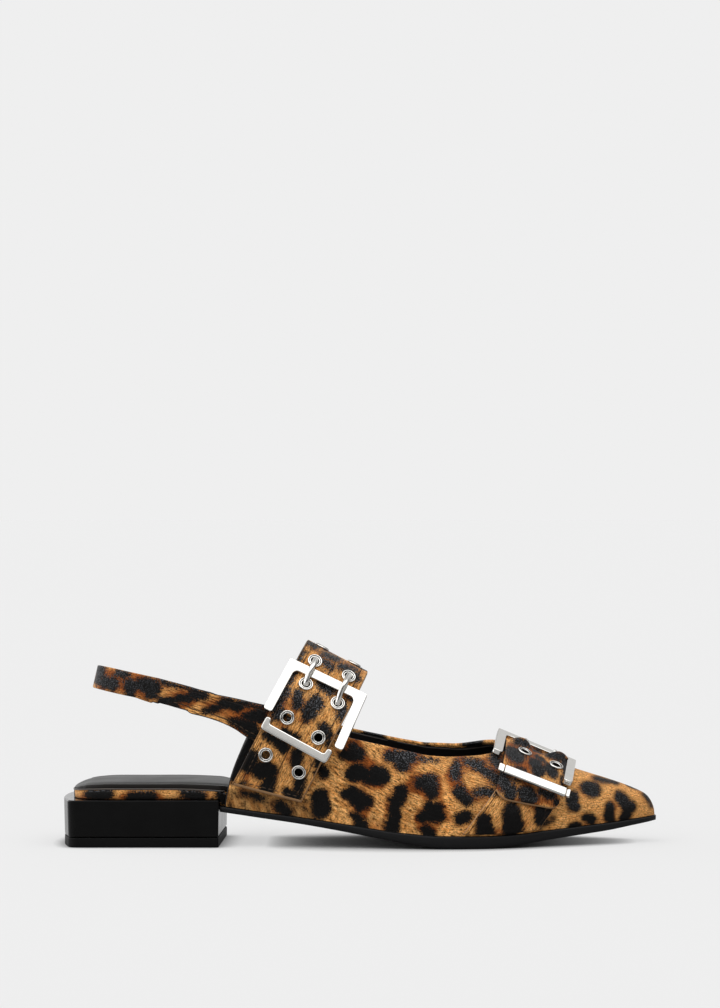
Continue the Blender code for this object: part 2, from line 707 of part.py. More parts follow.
def build_frame(shoe, name, band, wall, bars, width, stand):
    """A buckle frame over a band: high bar close to it, side bars beside it, low bar dropped and rolled."""
    low, _, low_out = band.frame(0.5, band.from_crest(bars["low"]))
    high, _, high_out = band.frame(0.5, band.from_crest(bars["high"]))
    low = low + low_out * (wall + stand["low"] + LOW_BAR_DROP)
    high = high + high_out * (wall + stand["high"] + BAR_THICKNESS / 2)
    back, front = (band.place(side, band.from_crest((bars["low"] + bars["high"]) / 2, side)) for side in (0.0, 1.0))
    across = (front - back).normalized()
    along = (high - low).normalized()
    across = (across - along * across.dot(along)).normalized()
    out = across.cross(along)
    centre = (low + high) / 2 + across * stand["aside"]
    half = frame_half((width - BAR_WIDTH) / 2, (high - low).length / 2)
    path = half + [FramePoint(-p.across, p.along, p.out, p.roll) for p in reversed(half[1:-1])]
    section = bar_section()
    bpy.ops.mesh.primitive_torus_add(major_segments=len(path), minor_segments=len(section))
    frame = bpy.context.active_object
    for collection in list(frame.users_collection):
        collection.objects.unlink(frame)
    frame.name = frame.data.name = name
    for i, point in enumerate(path):
        before, after = path[i - 1], path[(i + 1) % len(path)]
        ahead = Vector((after.across - before.across, after.along - before.along, 0.0)).normalized()
        outer = Vector((ahead.y, -ahead.x, 0.0)) * -1
        rise = Vector((0.0, 0.0, 1.0))
        side = outer * math.cos(point.roll) - rise * math.sin(point.roll)
        face = rise * math.cos(point.roll) + outer * math.sin(point.roll)
        for j, (w, h) in enumerate(section):
            local = Vector((point.across, point.along, point.out)) + side * w + face * h
            place = centre + across * local.x + along * local.y + out * local.z
            frame.data.vertices[i * len(section) + j].co = place * MM
    bm = bmesh.new()
    bm.from_mesh(frame.data)
    bmesh.ops.recalc_face_normals(bm, faces=bm.faces)
    bm.to_mesh(frame.data)
    bm.free()
    frame.data.shade_smooth()
    frame.data.set_sharp_from_angle(angle=math.radians(30))
    shoe.adopt(frame, shoe.metal)
    return high, along, out


def build_prongs(shoe, name, seats, bar, along, out):
    """Rods that leave one eyelet, lie over the high bar and dip into the next eyelet."""
    for i, ((low, low_out), (high, high_out)) in enumerate(seats, 1):
        over = low + (high - low) * ((bar - low).dot(along) / (high - low).dot(along))
        over += out * ((bar - over).dot(out) + BAR_THICKNESS / 2 + GAP + PRONG_RADIUS)
        shoulder = along * (BAR_WIDTH / 2 + 0.5)
        path = [low - low_out * 0.8, low + low_out * 1.0, over - shoulder, over + shoulder,
                high + high_out * 1.0, high - high_out * 0.8]
        curve = bpy.data.curves.new(f"{name}_prong_{i}", "CURVE")
        curve.dimensions = "3D"
        curve.bevel_depth = PRONG_RADIUS * MM
        curve.bevel_resolution = 1
        curve.use_fill_caps = True
        spline = curve.splines.new("POLY")
        spline.points.add(len(path) - 1)
        for point, place in zip(spline.points, path):
            point.co = (*(place * MM), 1.0)
        shoe.adopt(bpy.data.objects.new(f"{name}_prong_{i}", curve), shoe.metal)


def build_buckles(shoe, instep, toe):
    seats = eyelet_seats(INSTEP, INSTEP_WALL, INSTEP_ROWS, INSTEP_PAIR)
    build_eyelets(shoe, "instep", instep, INSTEP_WALL, seats)
    bar, along, out = build_frame(shoe, "instep_buckle", INSTEP, INSTEP_WALL, INSTEP_BARS, INSTEP_BUCKLE_WIDTH,
                                  dict(low=2.2, high=0.8, aside=0.0))
    build_prongs(shoe, "instep", list(zip(seats[4:6], seats[6:8])), bar, along, out)
    seats = eyelet_seats(TOE, TOE_STRAP_WALL, TOE_ROWS, TOE_PAIR)
    build_eyelets(shoe, "toe", toe, TOE_STRAP_WALL, seats)
    bar, along, out = build_frame(shoe, "toe_buckle", TOE, TOE_STRAP_WALL, TOE_BARS, TOE_BUCKLE_WIDTH,
                                  dict(low=2.6, high=1.3, aside=-0.6))
    rests = eyelet_seats(TOE, TOE_STRAP_WALL + PRONG_RADIUS + 1.0, dict(start=TOE_PRONG_START), TOE_PAIR)
    build_prongs(shoe, "toe", list(zip(rests, seats[2:4])), bar, along, out)


def main():
    shoe = Shoe()
    build_outsole(shoe)
    build_heel(shoe)
    build_insole(shoe)
    build_upper(shoe)
    build_sling(shoe)
    instep, toe = build_bands(shoe)
    build_buckles(shoe, instep, toe)


main()
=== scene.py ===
import math
from collections import namedtuple

import bmesh
import bpy
import numpy as np
from mathutils import Matrix, Vector


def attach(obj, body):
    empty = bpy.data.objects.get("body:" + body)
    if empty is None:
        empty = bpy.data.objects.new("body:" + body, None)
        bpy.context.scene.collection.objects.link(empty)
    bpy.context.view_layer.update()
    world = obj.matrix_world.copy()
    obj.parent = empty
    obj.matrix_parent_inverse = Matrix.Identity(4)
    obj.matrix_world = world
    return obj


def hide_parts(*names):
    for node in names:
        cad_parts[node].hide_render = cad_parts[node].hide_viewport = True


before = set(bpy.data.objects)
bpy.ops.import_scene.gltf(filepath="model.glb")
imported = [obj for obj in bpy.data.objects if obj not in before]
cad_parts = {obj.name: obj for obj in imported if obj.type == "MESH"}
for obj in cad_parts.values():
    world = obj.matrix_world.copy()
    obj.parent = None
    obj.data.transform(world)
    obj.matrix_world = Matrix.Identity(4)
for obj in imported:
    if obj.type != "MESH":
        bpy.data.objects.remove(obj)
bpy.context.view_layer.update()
scene = bpy.context.scene
scene.view_settings.view_transform = "Standard"

# millimetres, x from the back of the heel to the toe, y to the inner side of the foot, z from the floor
shoe = dict(length=272.0, ahead=-136.0, aside=0.7, gap=0.3)
photo = dict(wide=720, high=1008, focal=3254.0, away=1500.0, height=155.6)
perPixel = photo["away"] / photo["focal"]  # millimetres at the middle of the shoe


class Curves:  # rows under named columns, read between the rows without overshoot
    def __init__(self, columns, rows, key=np.asarray):
        self.row = namedtuple("row", columns)
        self.key = key
        rows = sorted(rows, key=lambda row: float(key(row[0])))
        self.places = np.array([float(key(row[0])) for row in rows])
        self.values = np.array(rows, float)
        chords = np.diff(self.values, axis=0) / np.diff(self.places)[:, None]
        product = chords[:-1] * chords[1:]
        total = np.where(product > 0, chords[:-1] + chords[1:], 1.0)
        inner = np.where(product > 0, 2 * product / total, 0.0)
        self.slopes = np.vstack((chords[:1], inner, chords[-1:]))

    def at(self, place):
        place = np.clip(self.key(np.asarray(place, float)), self.places[0], self.places[-1])
        i = np.clip(np.searchsorted(self.places, place) - 1, 0, len(self.places) - 2)
        step = (self.places[i + 1] - self.places[i])[..., None]
        s = (place - self.places[i])[..., None] / step
        value = ((1 + 2 * s) * (1 - s) ** 2 * self.values[i] + s * (1 - s) ** 2 * step * self.slopes[i]
                 + s * s * (3 - 2 * s) * self.values[i + 1] + s * s * (s - 1) * step * self.slopes[i + 1])
        return self.row(*np.moveaxis(value, -1, 0))


def behindToe(x):  # root of the distance behind the tip, so that the toe runs out round
    return np.sqrt(np.maximum(shoe["length"] - np.asarray(x, float), 0.0))


last = Curves("x feather crest lateral medial flank crown tuck", [
    (60, 21.0, 116.0, -27.2, 26.8, 2.6, 3.0, 1.4),
    (75, 18.6, 108.5, -27.8, 26.4, 2.6, 3.0, 1.6),
    (90, 16.4, 100.6, -28.6, 26.4, 2.6, 3.0, 1.8),
    (110, 13.8, 89.8, -30.2, 27.0, 2.6, 3.0, 2.0),
    (132, 10.6, 77.4, -33.0, 29.6, 2.5, 2.8, 2.2),
    (154, 7.5, 66.6, -36.4, 34.0, 2.4, 2.5, 2.4),
    (172, 6.1, 59.2, -38.0, 37.4, 2.25, 2.3, 2.4),
    (190, 5.9, 50.9, -36.4, 37.6, 2.15, 2.15, 2.3),
    (204, 6.2, 45.0, -32.8, 34.8, 2.1, 2.1, 2.0),
    (220, 7.6, 38.7, -26.6, 29.2, 2.0, 2.0, 1.8),
    (236, 8.9, 33.4, -19.8, 22.8, 2.0, 2.0, 1.5),
    (250, 10.1, 29.0, -13.6, 17.0, 2.0, 2.0, 1.2),
    (262, 11.4, 24.7, -8.0, 11.6, 2.0, 2.0, 0.8),
    (268, 12.0, 21.5, -4.4, 8.0, 2.0, 2.0, 0.4),
    (271, 12.3, 17.2, -1.0, 4.8, 2.0, 2.0, 0.2),
    (272, 12.4, 12.4, 1.9, 1.9, 2.0, 2.0, 0.0),
], key=behindToe)


def blend(low, high, share):
    return low + (high - low) * share


def ease(value):
    value = np.clip(value, 0.0, 1.0)
    return value * value * (3 - 2 * value)


def ramp(value, start, over):  # eases up from 0 at the start to 1
    return ease((value - start) / over)


def bell(value, centre, wide):
    return np.exp(-((value - centre) / wide) ** 2)


def unit(vectors):
    return vectors / np.maximum(np.linalg.norm(vectors, axis=-1, keepdims=True), 1e-12)


def lastPoint(x, t):  # t runs from -1 at the outer feather over 0 at the crest to 1 at the inner feather
    x, t = np.broadcast_arrays(np.asarray(x, float), np.asarray(t, float))
    row = last.at(x)
    turn = np.minimum(abs(t), 1.0) * math.pi / 2
    out = (row.medial - row.lateral) / 2 * np.sin(turn) ** (2 / row.flank)
    out = out - row.tuck * np.clip((abs(t) - 0.6) / 0.4, 0.0, None) ** 2
    rise = np.maximum(np.cos(turn), 0.0) ** (2 / row.crown)
    y = (row.medial + row.lateral) / 2 + np.where(t > 0, 1.0, -1.0) * out
    return np.stack((x, y, row.feather + (row.crest - row.feather) * rise), -1)


def lastNormal(x, t):
    x, t = np.broadcast_arrays(np.minimum(x, shoe["length"] - 0.02), np.asarray(t, float))
    along = lastPoint(x + 0.01, t) - lastPoint(x - 0.01, t)
    return unit(np.cross(along, lastPoint(x, np.minimum(t + 0.004, 1)) - lastPoint(x, np.maximum(t - 0.004, -1))))


def turnAtHeight(x, z):
    row = last.at(x)
    share = np.clip((z - row.feather) / (row.crest - row.feather), 0.0, 1.0)
    return np.arccos(share ** (row.crown / 2)) / (math.pi / 2)


def featherY(x, side):
    return lastPoint(x, side)[..., 1]


# meshes

def gridMesh(columns, rows, place, paint=None, hair=None, seam=None):
    bm = bmesh.new()
    bmesh.ops.create_grid(bm, x_segments=columns, y_segments=rows, size=0.5)
    u = np.array([vert.co.x for vert in bm.verts]) + 0.5
    v = np.array([vert.co.y for vert in bm.verts]) + 0.5
    charts = [(bm.loops.layers.uv.new(name), chart(u, v))
              for name, chart in (("hair", hair), ("seam", seam)) if chart]
    bm.verts.index_update()
    corners = np.array([[vert.index for vert in face.verts] for face in bm.faces])
    slots = paint(u[corners].mean(1), v[corners].mean(1)) if paint else np.zeros(len(corners))
    for face, slot in zip(bm.faces, slots):
        face.smooth = True
        face.material_index = int(slot)
        for layer, places in charts:
            for loop in face.loops:
                loop[layer].uv = places[loop.vert.index]
    for vert, point in zip(bm.verts, place(u, v)):
        vert.co = point
    bmesh.ops.remove_doubles(bm, verts=bm.verts, dist=0.004)
    return bm


def skinMesh(loops, paint=None, hair=None):  # a closed skin through loops of equal count
    loops = np.asarray(loops, float)
    rows, around = loops.shape[:2]

    def place(u, v):
        return loops[np.rint(v * (rows - 1)).astype(int), np.rint(u * around).astype(int) % around]

    bm = gridMesh(around, rows - 1, place, paint, hair)
    bmesh.ops.holes_fill(bm, edges=[edge for edge in bm.edges if edge.is_boundary], sides=0)
    bmesh.ops.recalc_face_normals(bm, faces=bm.faces)
    return bm


def rodMesh(path, out, radius, sides):  # a round rod along a path
    path = np.asarray(path, float)
    ahead = unit(np.gradient(path, axis=0))
    side = unit(np.cross(np.tile(np.asarray(out, float), (len(path), 1)), ahead))
    face = np.cross(ahead, side)
    ring = np.array([(radius * math.cos(a), radius * math.sin(a)) for a in np.linspace(0, math.tau, sides, False)])
    return skinMesh(path[:, None] + side[:, None] * ring[None, :, :1] + face[:, None] * ring[None, :, 1:])


def smoothPath(points, steps):  # an even curve through a few points
    points = np.asarray(points, float)
    ends = np.vstack((2 * points[0] - points[1], points, 2 * points[-1] - points[-2]))
    made = []
    for a, b, c, d in zip(ends, ends[1:], ends[2:], ends[3:]):
        for s in np.linspace(0, 1, steps, endpoint=False):
            made.append(0.5 * (2 * b + (c - a) * s + (2 * a - 5 * b + 4 * c - d) * s ** 2
                               + (3 * b - a - 3 * c + d) * s ** 3))
    return np.array(made + [points[-1]])


def joinMeshes(parts):
    whole = bmesh.new()
    for bm in parts:
        mesh = bpy.data.meshes.new("part")
        bm.to_mesh(mesh)
        bm.free()
        whole.from_mesh(mesh)
        bpy.data.meshes.remove(mesh)
    return whole


def addObject(name, bm, materials):
    mesh = bpy.data.meshes.new(name)
    bm.to_mesh(mesh)
    bm.free()
    for material in materials:
        mesh.materials.append(material)
    made = bpy.data.objects.new(name, mesh)
    scene.collection.objects.link(made)
    return made


def addPiece(name, bm, materials, slot, *nodes):
    bmesh.ops.translate(bm, vec=(shoe["ahead"], shoe["aside"], 0.0), verts=bm.verts)
    bmesh.ops.scale(bm, vec=(0.001, 0.001, 0.001), verts=bm.verts)
    piece = addObject(name, bm, materials)
    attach(piece, "root")
    if nodes:
        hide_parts(*nodes)
    return piece


# materials

def addNode(tree, kind, inputs=(), **settings):
    made = tree.nodes.new("ShaderNode" + kind)
    for key, value in settings.items():
        setattr(made, key, value)
    for key, value in dict(inputs).items():
        if isinstance(value, bpy.types.NodeSocket):
            tree.links.new(value, made.inputs[key])
        else:
            made.inputs[key].default_value = value
    return made


def calc(tree, operation, *values):
    return addNode(tree, "Math", dict(enumerate(values)), operation=operation).outputs[0]


def plus(tree, total, *others):
    for value in others:
        total = calc(tree, "ADD", total, value)
    return total


def times(tree, product, *others):
    for value in others:
        product = calc(tree, "MULTIPLY", product, value)
    return product


def bumpFrom(tree, height, strength, distance):
    return addNode(tree, "Bump", {"Height": height, "Strength": strength, "Distance": distance}).outputs[0]


def wire(tree, shader, **sockets):
    for key, value in sockets.items():
        tree.links.new(value, shader.inputs[key.replace("_", " ")])


def mixColor(tree, share, low, high, kind="MIX"):
    mix = addNode(tree, "Mix", {"Factor": share}, data_type="RGBA", blend_type=kind)
    for socket, value in zip([s for s in mix.inputs if s.type == "RGBA"], (low, high)):
        if isinstance(value, bpy.types.NodeSocket):
            tree.links.new(value, socket)
        else:
            socket.default_value = value
    return [s for s in mix.outputs if s.type == "RGBA"][0]


def mapRange(tree, value, fromLow, fromHigh, toLow=0.0, toHigh=1.0, smooth=True):
    return addNode(tree, "MapRange", {"Value": value, "From Min": fromLow, "From Max": fromHigh, "To Min": toLow,
                   "To Max": toHigh}, interpolation_type="SMOOTHSTEP" if smooth else "LINEAR").outputs["Result"]


def noiseAt(tree, vector, scale, detail=2.0, roughness=0.5):  # one scale, or one for each axis
    scale = scale if isinstance(scale, tuple) else (scale,) * 3
    mapping = addNode(tree, "Mapping", {"Vector": vector, "Scale": scale})
    return addNode(tree, "TexNoise", {"Vector": mapping.outputs[0], "Scale": 1.0, "Detail": detail,
                   "Roughness": roughness}).outputs[0]


def newMaterial(name, **values):
    material = bpy.data.materials.new(name)
    material.use_nodes = True
    tree = material.node_tree
    shader = tree.nodes["Principled BSDF"]
    for key, value in values.items():
        shader.inputs[key.replace("_", " ")].default_value = value
    return material, tree, shader


def makeGrain():  # fine pebble with wandering gloss, used by every black finish
    group = bpy.data.node_groups.new("fineGrain", "ShaderNodeTree")
    for name, kind, side in (("Size", "NodeSocketFloat", "INPUT"), ("Depth", "NodeSocketFloat", "INPUT"),
                             ("Gloss", "NodeSocketFloat", "INPUT"), ("Roughness", "NodeSocketFloat", "OUTPUT"),
                             ("Shade", "NodeSocketFloat", "OUTPUT"), ("Normal", "NodeSocketVector", "OUTPUT")):
        group.interface.new_socket(name, in_out=side, socket_type=kind)
    place = addNode(group, "TexCoord").outputs["Object"]
    given = group.nodes.new("NodeGroupInput")
    shown = group.nodes.new("NodeGroupOutput")
    scale = calc(group, "DIVIDE", 1000.0, given.outputs["Size"])
    pebble = addNode(group, "TexVoronoi", {"Vector": place, "Scale": scale}, feature="SMOOTH_F1").outputs[0]
    cloud = addNode(group, "TexNoise", {"Vector": place, "Scale": 60.0, "Detail": 4.0}).outputs[0]
    dust = addNode(group, "TexNoise", {"Vector": place, "Scale": 900.0, "Detail": 3.0}).outputs[0]
    height = plus(group, times(group, pebble, -1.0), times(group, dust, 0.5))
    uneven = times(group, calc(group, "SUBTRACT", cloud, 0.5), 0.25)
    wire(group, shown, Roughness=plus(group, given.outputs["Gloss"], uneven),
         Shade=plus(group, 0.85, times(group, dust, 0.3)),
         Normal=bumpFrom(group, height, given.outputs["Depth"], 0.0002))
    return group


grain = makeGrain()


def grainedMaterial(name, color, gloss, size, depth, **values):
    material, tree, shader = newMaterial(name, **values)
    made = addNode(tree, "Group", node_tree=grain)
    for key, value in (("Size", size), ("Depth", depth), ("Gloss", gloss)):
        made.inputs[key].default_value = value
    tint = mixColor(tree, made.outputs["Shade"], (0, 0, 0, 1), (*color, 1))
    wire(tree, shader, Base_Color=tint, Roughness=made.outputs["Roughness"], Normal=made.outputs["Normal"])
    return material


printLook = dict(
    tan=(0.50, 0.215, 0.056, 1), pale=(0.70, 0.365, 0.122, 1), rust=(0.25, 0.066, 0.011, 1),
    spot=(0.0028, 0.0025, 0.0024, 1), paintedGlint=(0.10, 0.103, 0.112, 1), seam=(0.012, 0.007, 0.004, 1),
    grow=0.35, feather=3.0, wander=2.8, roughness=0.5)


def makePrint():
    look = printLook
    material, tree, shader = newMaterial("printedHide", Sheen_Weight=0.03, Sheen_Roughness=0.4, Specular_IOR_Level=0.1)
    hair, seam = (addNode(tree, "UVMap", uv_map=name).outputs[0] for name in ("hair", "seam"))
    spot, rust, shade = (addNode(tree, "Attribute", attribute_name=name).outputs["Fac"]
                         for name in ("spot", "rust", "shade"))
    place = addNode(tree, "TexCoord").outputs["Object"]
    upward = addNode(tree, "SeparateXYZ", {0: addNode(tree, "NewGeometry").outputs["Normal"]}).outputs[2]

    def centred(value, amount):
        return times(tree, calc(tree, "SUBTRACT", value, 0.5), amount)

    streak = noiseAt(tree, hair, (0.19, 1.25, 1.0), 3.0, 0.6)
    fine = noiseAt(tree, hair, (0.5, 2.3, 1.0), 2.0, 0.6)
    wander = noiseAt(tree, place, 210.0)
    cloud = noiseAt(tree, place, 85.0, 3.0)
    speck = noiseAt(tree, place, 1800.0, 0.0)
    spark = noiseAt(tree, place, 2000.0, 0.0)
    topward = mapRange(tree, upward, 0.0, 0.4)
    ahead = addNode(tree, "SeparateXYZ", {0: place}).outputs[0]
    calmAndFewerGlints = mapRange(tree, ahead, 0.05, 0.09, 1.0, 0.4)  # the toe lies smoother than the vamp, and its painted glints fade out
    grit = times(tree, centred(speck, 1.0), calmAndFewerGlints, mapRange(tree, topward, 0.0, 1.0, 3.2, 6.0, False))
    edge = plus(tree, spot, look["grow"], centred(streak, look["feather"]), centred(wander, look["wander"]),
                centred(fine, 2.4), grit)
    dark = mapRange(tree, edge, -1.0, 1.0)
    # ground: pale to tan, rust in patches between close spots, single hairs lighter and darker
    rusty = plus(tree, times(tree, rust, calmAndFewerGlints, 0.7), centred(cloud, 2.6), centred(streak, 1.3),
                 mapRange(tree, edge, -2.4, 0.0, 0.0, 0.12))
    ground = mixColor(tree, mapRange(tree, streak, 0.38, 0.62), look["tan"], look["pale"])
    ground = mixColor(tree, mapRange(tree, rusty, 0.25, 1.0), ground, look["rust"])
    hairs = plus(tree, centred(fine, 2.5), centred(speck, 0.9))
    hairs = mapRange(tree, hairs, -0.5, 0.5, 0.14, 1.76, False)
    # painted shade: the ground is darkened by the shade attribute, and made paler where it is below nought
    hairs = times(tree, hairs, calc(tree, "SUBTRACT", 1.0, shade))
    ground = mixColor(tree, 1.0, ground, hairs, "MULTIPLY")
    # painted highlight: pale flecks in the black spots, strongest on up-facing parts and fading towards the toe, stand
    # in for glints of light on the hair
    lit = times(tree, mapRange(tree, spark, 0.48, 0.72), mapRange(tree, topward, 0.0, 1.0, 0.02, 0.9), calmAndFewerGlints)
    black = mixColor(tree, lit, look["spot"], look["paintedGlint"])
    color = mixColor(tree, dark, ground, black)
    away = addNode(tree, "SeparateXYZ", {0: seam}).outputs
    line = times(tree, mapRange(tree, calc(tree, "ABSOLUTE", away[0]), 0.1, 0.34, 1.0, 0.0), away[1])
    color = mixColor(tree, times(tree, line, 0.85), color, look["seam"])
    height = plus(tree, times(tree, fine, 0.8), times(tree, speck, 0.6), streak, times(tree, line, -1.8))
    wire(tree, shader, Base_Color=color, Roughness=plus(tree, look["roughness"], centred(fine, 0.35)),
         Normal=bumpFrom(tree, height, 0.6, 0.0004))
    return material


def makeMetal():
    material, tree, shader = newMaterial("buckleMetal", Metallic=1.0)
    place = addNode(tree, "TexCoord").outputs["Object"]
    haze = noiseAt(tree, place, 220.0, 3.0)
    rub = noiseAt(tree, place, (900.0, 4000.0, 900.0))
    wire(tree, shader, Base_Color=mixColor(tree, haze, (0.68, 0.66, 0.62, 1), (0.80, 0.79, 0.76, 1)),
         Roughness=plus(tree, mapRange(tree, haze, 0.3, 0.7, 0.10, 0.17), times(tree, rub, 0.05)),
         Normal=bumpFrom(tree, haze, 0.03, 0.0003))
    return material


def makeLacquer():  # gloss that shows only at a slant, as on a lacquered block
    material, tree, shader = newMaterial("heelLacquer", Specular_IOR_Level=0.05, Coat_Roughness=0.08, Coat_IOR=1.5)
    place = addNode(tree, "TexCoord").outputs["Object"]
    cloud = noiseAt(tree, place, 90.0, 3.0)
    slant = addNode(tree, "LayerWeight", {"Blend": 0.35}).outputs["Facing"]
    wire(tree, shader, Base_Color=mixColor(tree, cloud, (0.004, 0.004, 0.004, 1), (0.008, 0.008, 0.008, 1)),
         Roughness=mapRange(tree, cloud, 0.3, 0.7, 0.16, 0.24),
         Coat_Weight=mapRange(tree, slant, 0.05, 0.7, 0.0, 0.8), Normal=bumpFrom(tree, cloud, 0.02, 0.0005))
    return material


printedHide = makePrint()
buckleMetal = makeMetal()
heelLacquer = makeLacquer()
liningLeather = grainedMaterial("liningLeather", (0.008, 0.007, 0.007), 0.55, 0.7, 0.25, Specular_IOR_Level=0.15)
sockLeather = grainedMaterial("sockLeather", (0.022, 0.022, 0.021), 0.42, 0.8, 0.22, Specular_IOR_Level=0.5)
soleRubber = grainedMaterial("soleRubber", (0.008, 0.008, 0.0085), 0.5, 0.5, 0.15, Specular_IOR_Level=0.16)
tipRubber = grainedMaterial("tipRubber", (0.005, 0.005, 0.005), 0.5, 0.5, 0.15, Specular_IOR_Level=0.08)
# black edge paint, also used as painted shade in eyelet grooves and holes, in the disc deep in a hole and on the sock's
# turned edge
edgePaintAndShade = grainedMaterial("edgePaintAndShade", (0.010, 0.008, 0.007), 0.45, 0.6, 0.3, Specular_IOR_Level=0.2)
rawEdge = grainedMaterial("rawEdge", (0.36, 0.205, 0.10), 0.7, 0.4, 0.5, Specular_IOR_Level=0.2)
stitchThread = grainedMaterial("stitchThread", (0.05, 0.028, 0.014), 0.6, 0.3, 0.5, Specular_IOR_Level=0.3)
# painted highlight: a grey lighter than the black around it, for the near top edge, a line on the lining's ledge and
# the sock's piping
paintedRimHighlight = grainedMaterial("paintedRimHighlight", (0.075, 0.064, 0.056), 0.45, 0.6, 0.3, Specular_IOR_Level=0.3)
hideLayers = (printedHide, liningLeather, edgePaintAndShade, rawEdge, paintedRimHighlight)
print("materials ready")


# the print: spots charted where they show, scattered where they don't

scatter = dict(tries=2500, facing=0.06, sizes=(0.75, 1.05, 1.4), vary=(0.85, 1.15), gap=1.5)


def pixelsOf(points):  # where points of the shoe fall in the picture
    scale = photo["focal"] / (photo["away"] + points[:, 1] + shoe["aside"])
    across = photo["wide"] / 2 + (points[:, 0] + shoe["ahead"]) * scale
    return np.stack((across, photo["high"] / 2 + (photo["height"] - points[:, 2]) * scale), -1)


def strokeReach(pixels, row):  # how far inside a tapered stroke each pixel place lies
    u0, v0, r0, u1, v1, r1 = row
    run = np.array((u1 - u0, v1 - v0), float)
    share = np.clip((pixels - (u0, v0)) @ run / max(run @ run, 1e-6), 0, 1)
    return blend(r0, r1, share) - np.linalg.norm(pixels - (u0, v0) - share[:, None] * run, axis=1)


def printSpots(piece, chart, seed, big=5.2, grow=0.0, rust=1.0, shades=()):
    mesh = piece.data
    count = len(mesh.vertices)
    points, normals = np.zeros(count * 3), np.zeros(count * 3)
    mesh.vertices.foreach_get("co", points)
    mesh.vertices.foreach_get("normal", normals)
    points = points.reshape(-1, 3) * 1000 - (shoe["ahead"], shoe["aside"], 0.0)
    normals = normals.reshape(-1, 3)
    eye = np.array((-shoe["ahead"], -photo["away"] - shoe["aside"], photo["height"]))
    facing = np.einsum("ij,ij->i", normals, unit(eye - points))
    pixels = pixelsOf(points)
    edges, centres, sizes = [], [], []
    for row in chart:
        u0, v0, r0, u1, v1, r1 = row
        miss = np.hypot(*(pixels - ((u0 + u1) / 2, (v0 + v1) / 2)).T) + points[:, 1] * 0.05
        centre = points[(miss + np.where(facing > 0.05, 0.0, 500.0)).argmin()]
        size = (math.hypot(u1 - u0, v1 - v0) / 2 + max(r0, r1)) * perPixel
        reach = 1.4 * size + 1.5 - np.linalg.norm(points - centre, axis=1)
        edges.append(np.minimum(strokeReach(pixels, row) * perPixel + grow, reach))
        centres.append(centre)
        sizes.append(size)
    draw = np.random.default_rng(seed)
    for index in draw.permutation(np.flatnonzero(facing < scatter["facing"]))[:scatter["tries"]]:
        size = draw.choice(scatter["sizes"]) * draw.uniform(*scatter["vary"]) * big
        if centres:
            away = np.linalg.norm(np.array(centres) - points[index], axis=1)
            if (away < np.array(sizes) + size + scatter["gap"]).any():
                continue
        lobes = []
        for share in (0.0, draw.uniform(0.5, 1.2), draw.choice((0.0, 0.9))):  # two or three lobes run together
            lean = unit(np.cross(normals[index], draw.normal(size=3)))
            offset = points - points[index] - lean * share * size
            along = offset @ lean
            across = np.sqrt(np.maximum((offset ** 2).sum(1) - along ** 2, 0))
            lobes.append(size * blend(0.85, 0.5, min(share, 1.0)) - np.hypot(across, along / draw.uniform(0.9, 1.5)))
        edges.append(np.max(lobes, axis=0))
        centres.append(points[index])
        sizes.append(size * 1.1)
    edges = np.array(edges)
    near = np.exp(-(np.clip(-edges, 0, None) / 3.4) ** 2).sum(0)
    shade = np.zeros(count)
    # painted shade from the shade strokes, on faces turned towards the camera
    for *row, deep in shades:
        shade += deep * ease(strokeReach(pixels, row) / 9 + 0.5) * (facing > 0)
    spot, rust = np.clip(edges.max(0), -6, 6), np.clip(near - 0.8, 0, 1) * rust
    for name, values in (("spot", spot), ("rust", rust), ("shade", shade)):
        mesh.attributes.new(name, "FLOAT", "POINT").data.foreach_set("value", values.astype(np.float32))


def addHide(name, bm, node, chart, seed, **look):
    printSpots(addPiece(name, bm, hideLayers, "printed_hide", node), chart, seed, **look)


# upper

# runs are (start, over) for a ramp
upperSizes = dict(wall=1.8, quarterBack=75.5, quarterTop=91.0, throat=206.0, throatClose=7.0, columns=400, rows=120,
                  medialRise=2.0, medialBack=0.4, medialRun=(150, 30), throatRise=1.8, throatRun=(180, 16),
                  edge=0.012, band=1.3, step=0.4, stepOver=0.8, line=(1.8, 2.4))
topline = Curves("x z", [
    (91, 58.0), (104, 56.2), (118, 53.0), (134, 49.0), (150, 45.6), (159, 43.6), (168, 41.8),
    (180, 41.2), (190, 41.4), (197, 42.2), (202, 42.6), (205, 43.4), (206, 44.4)])
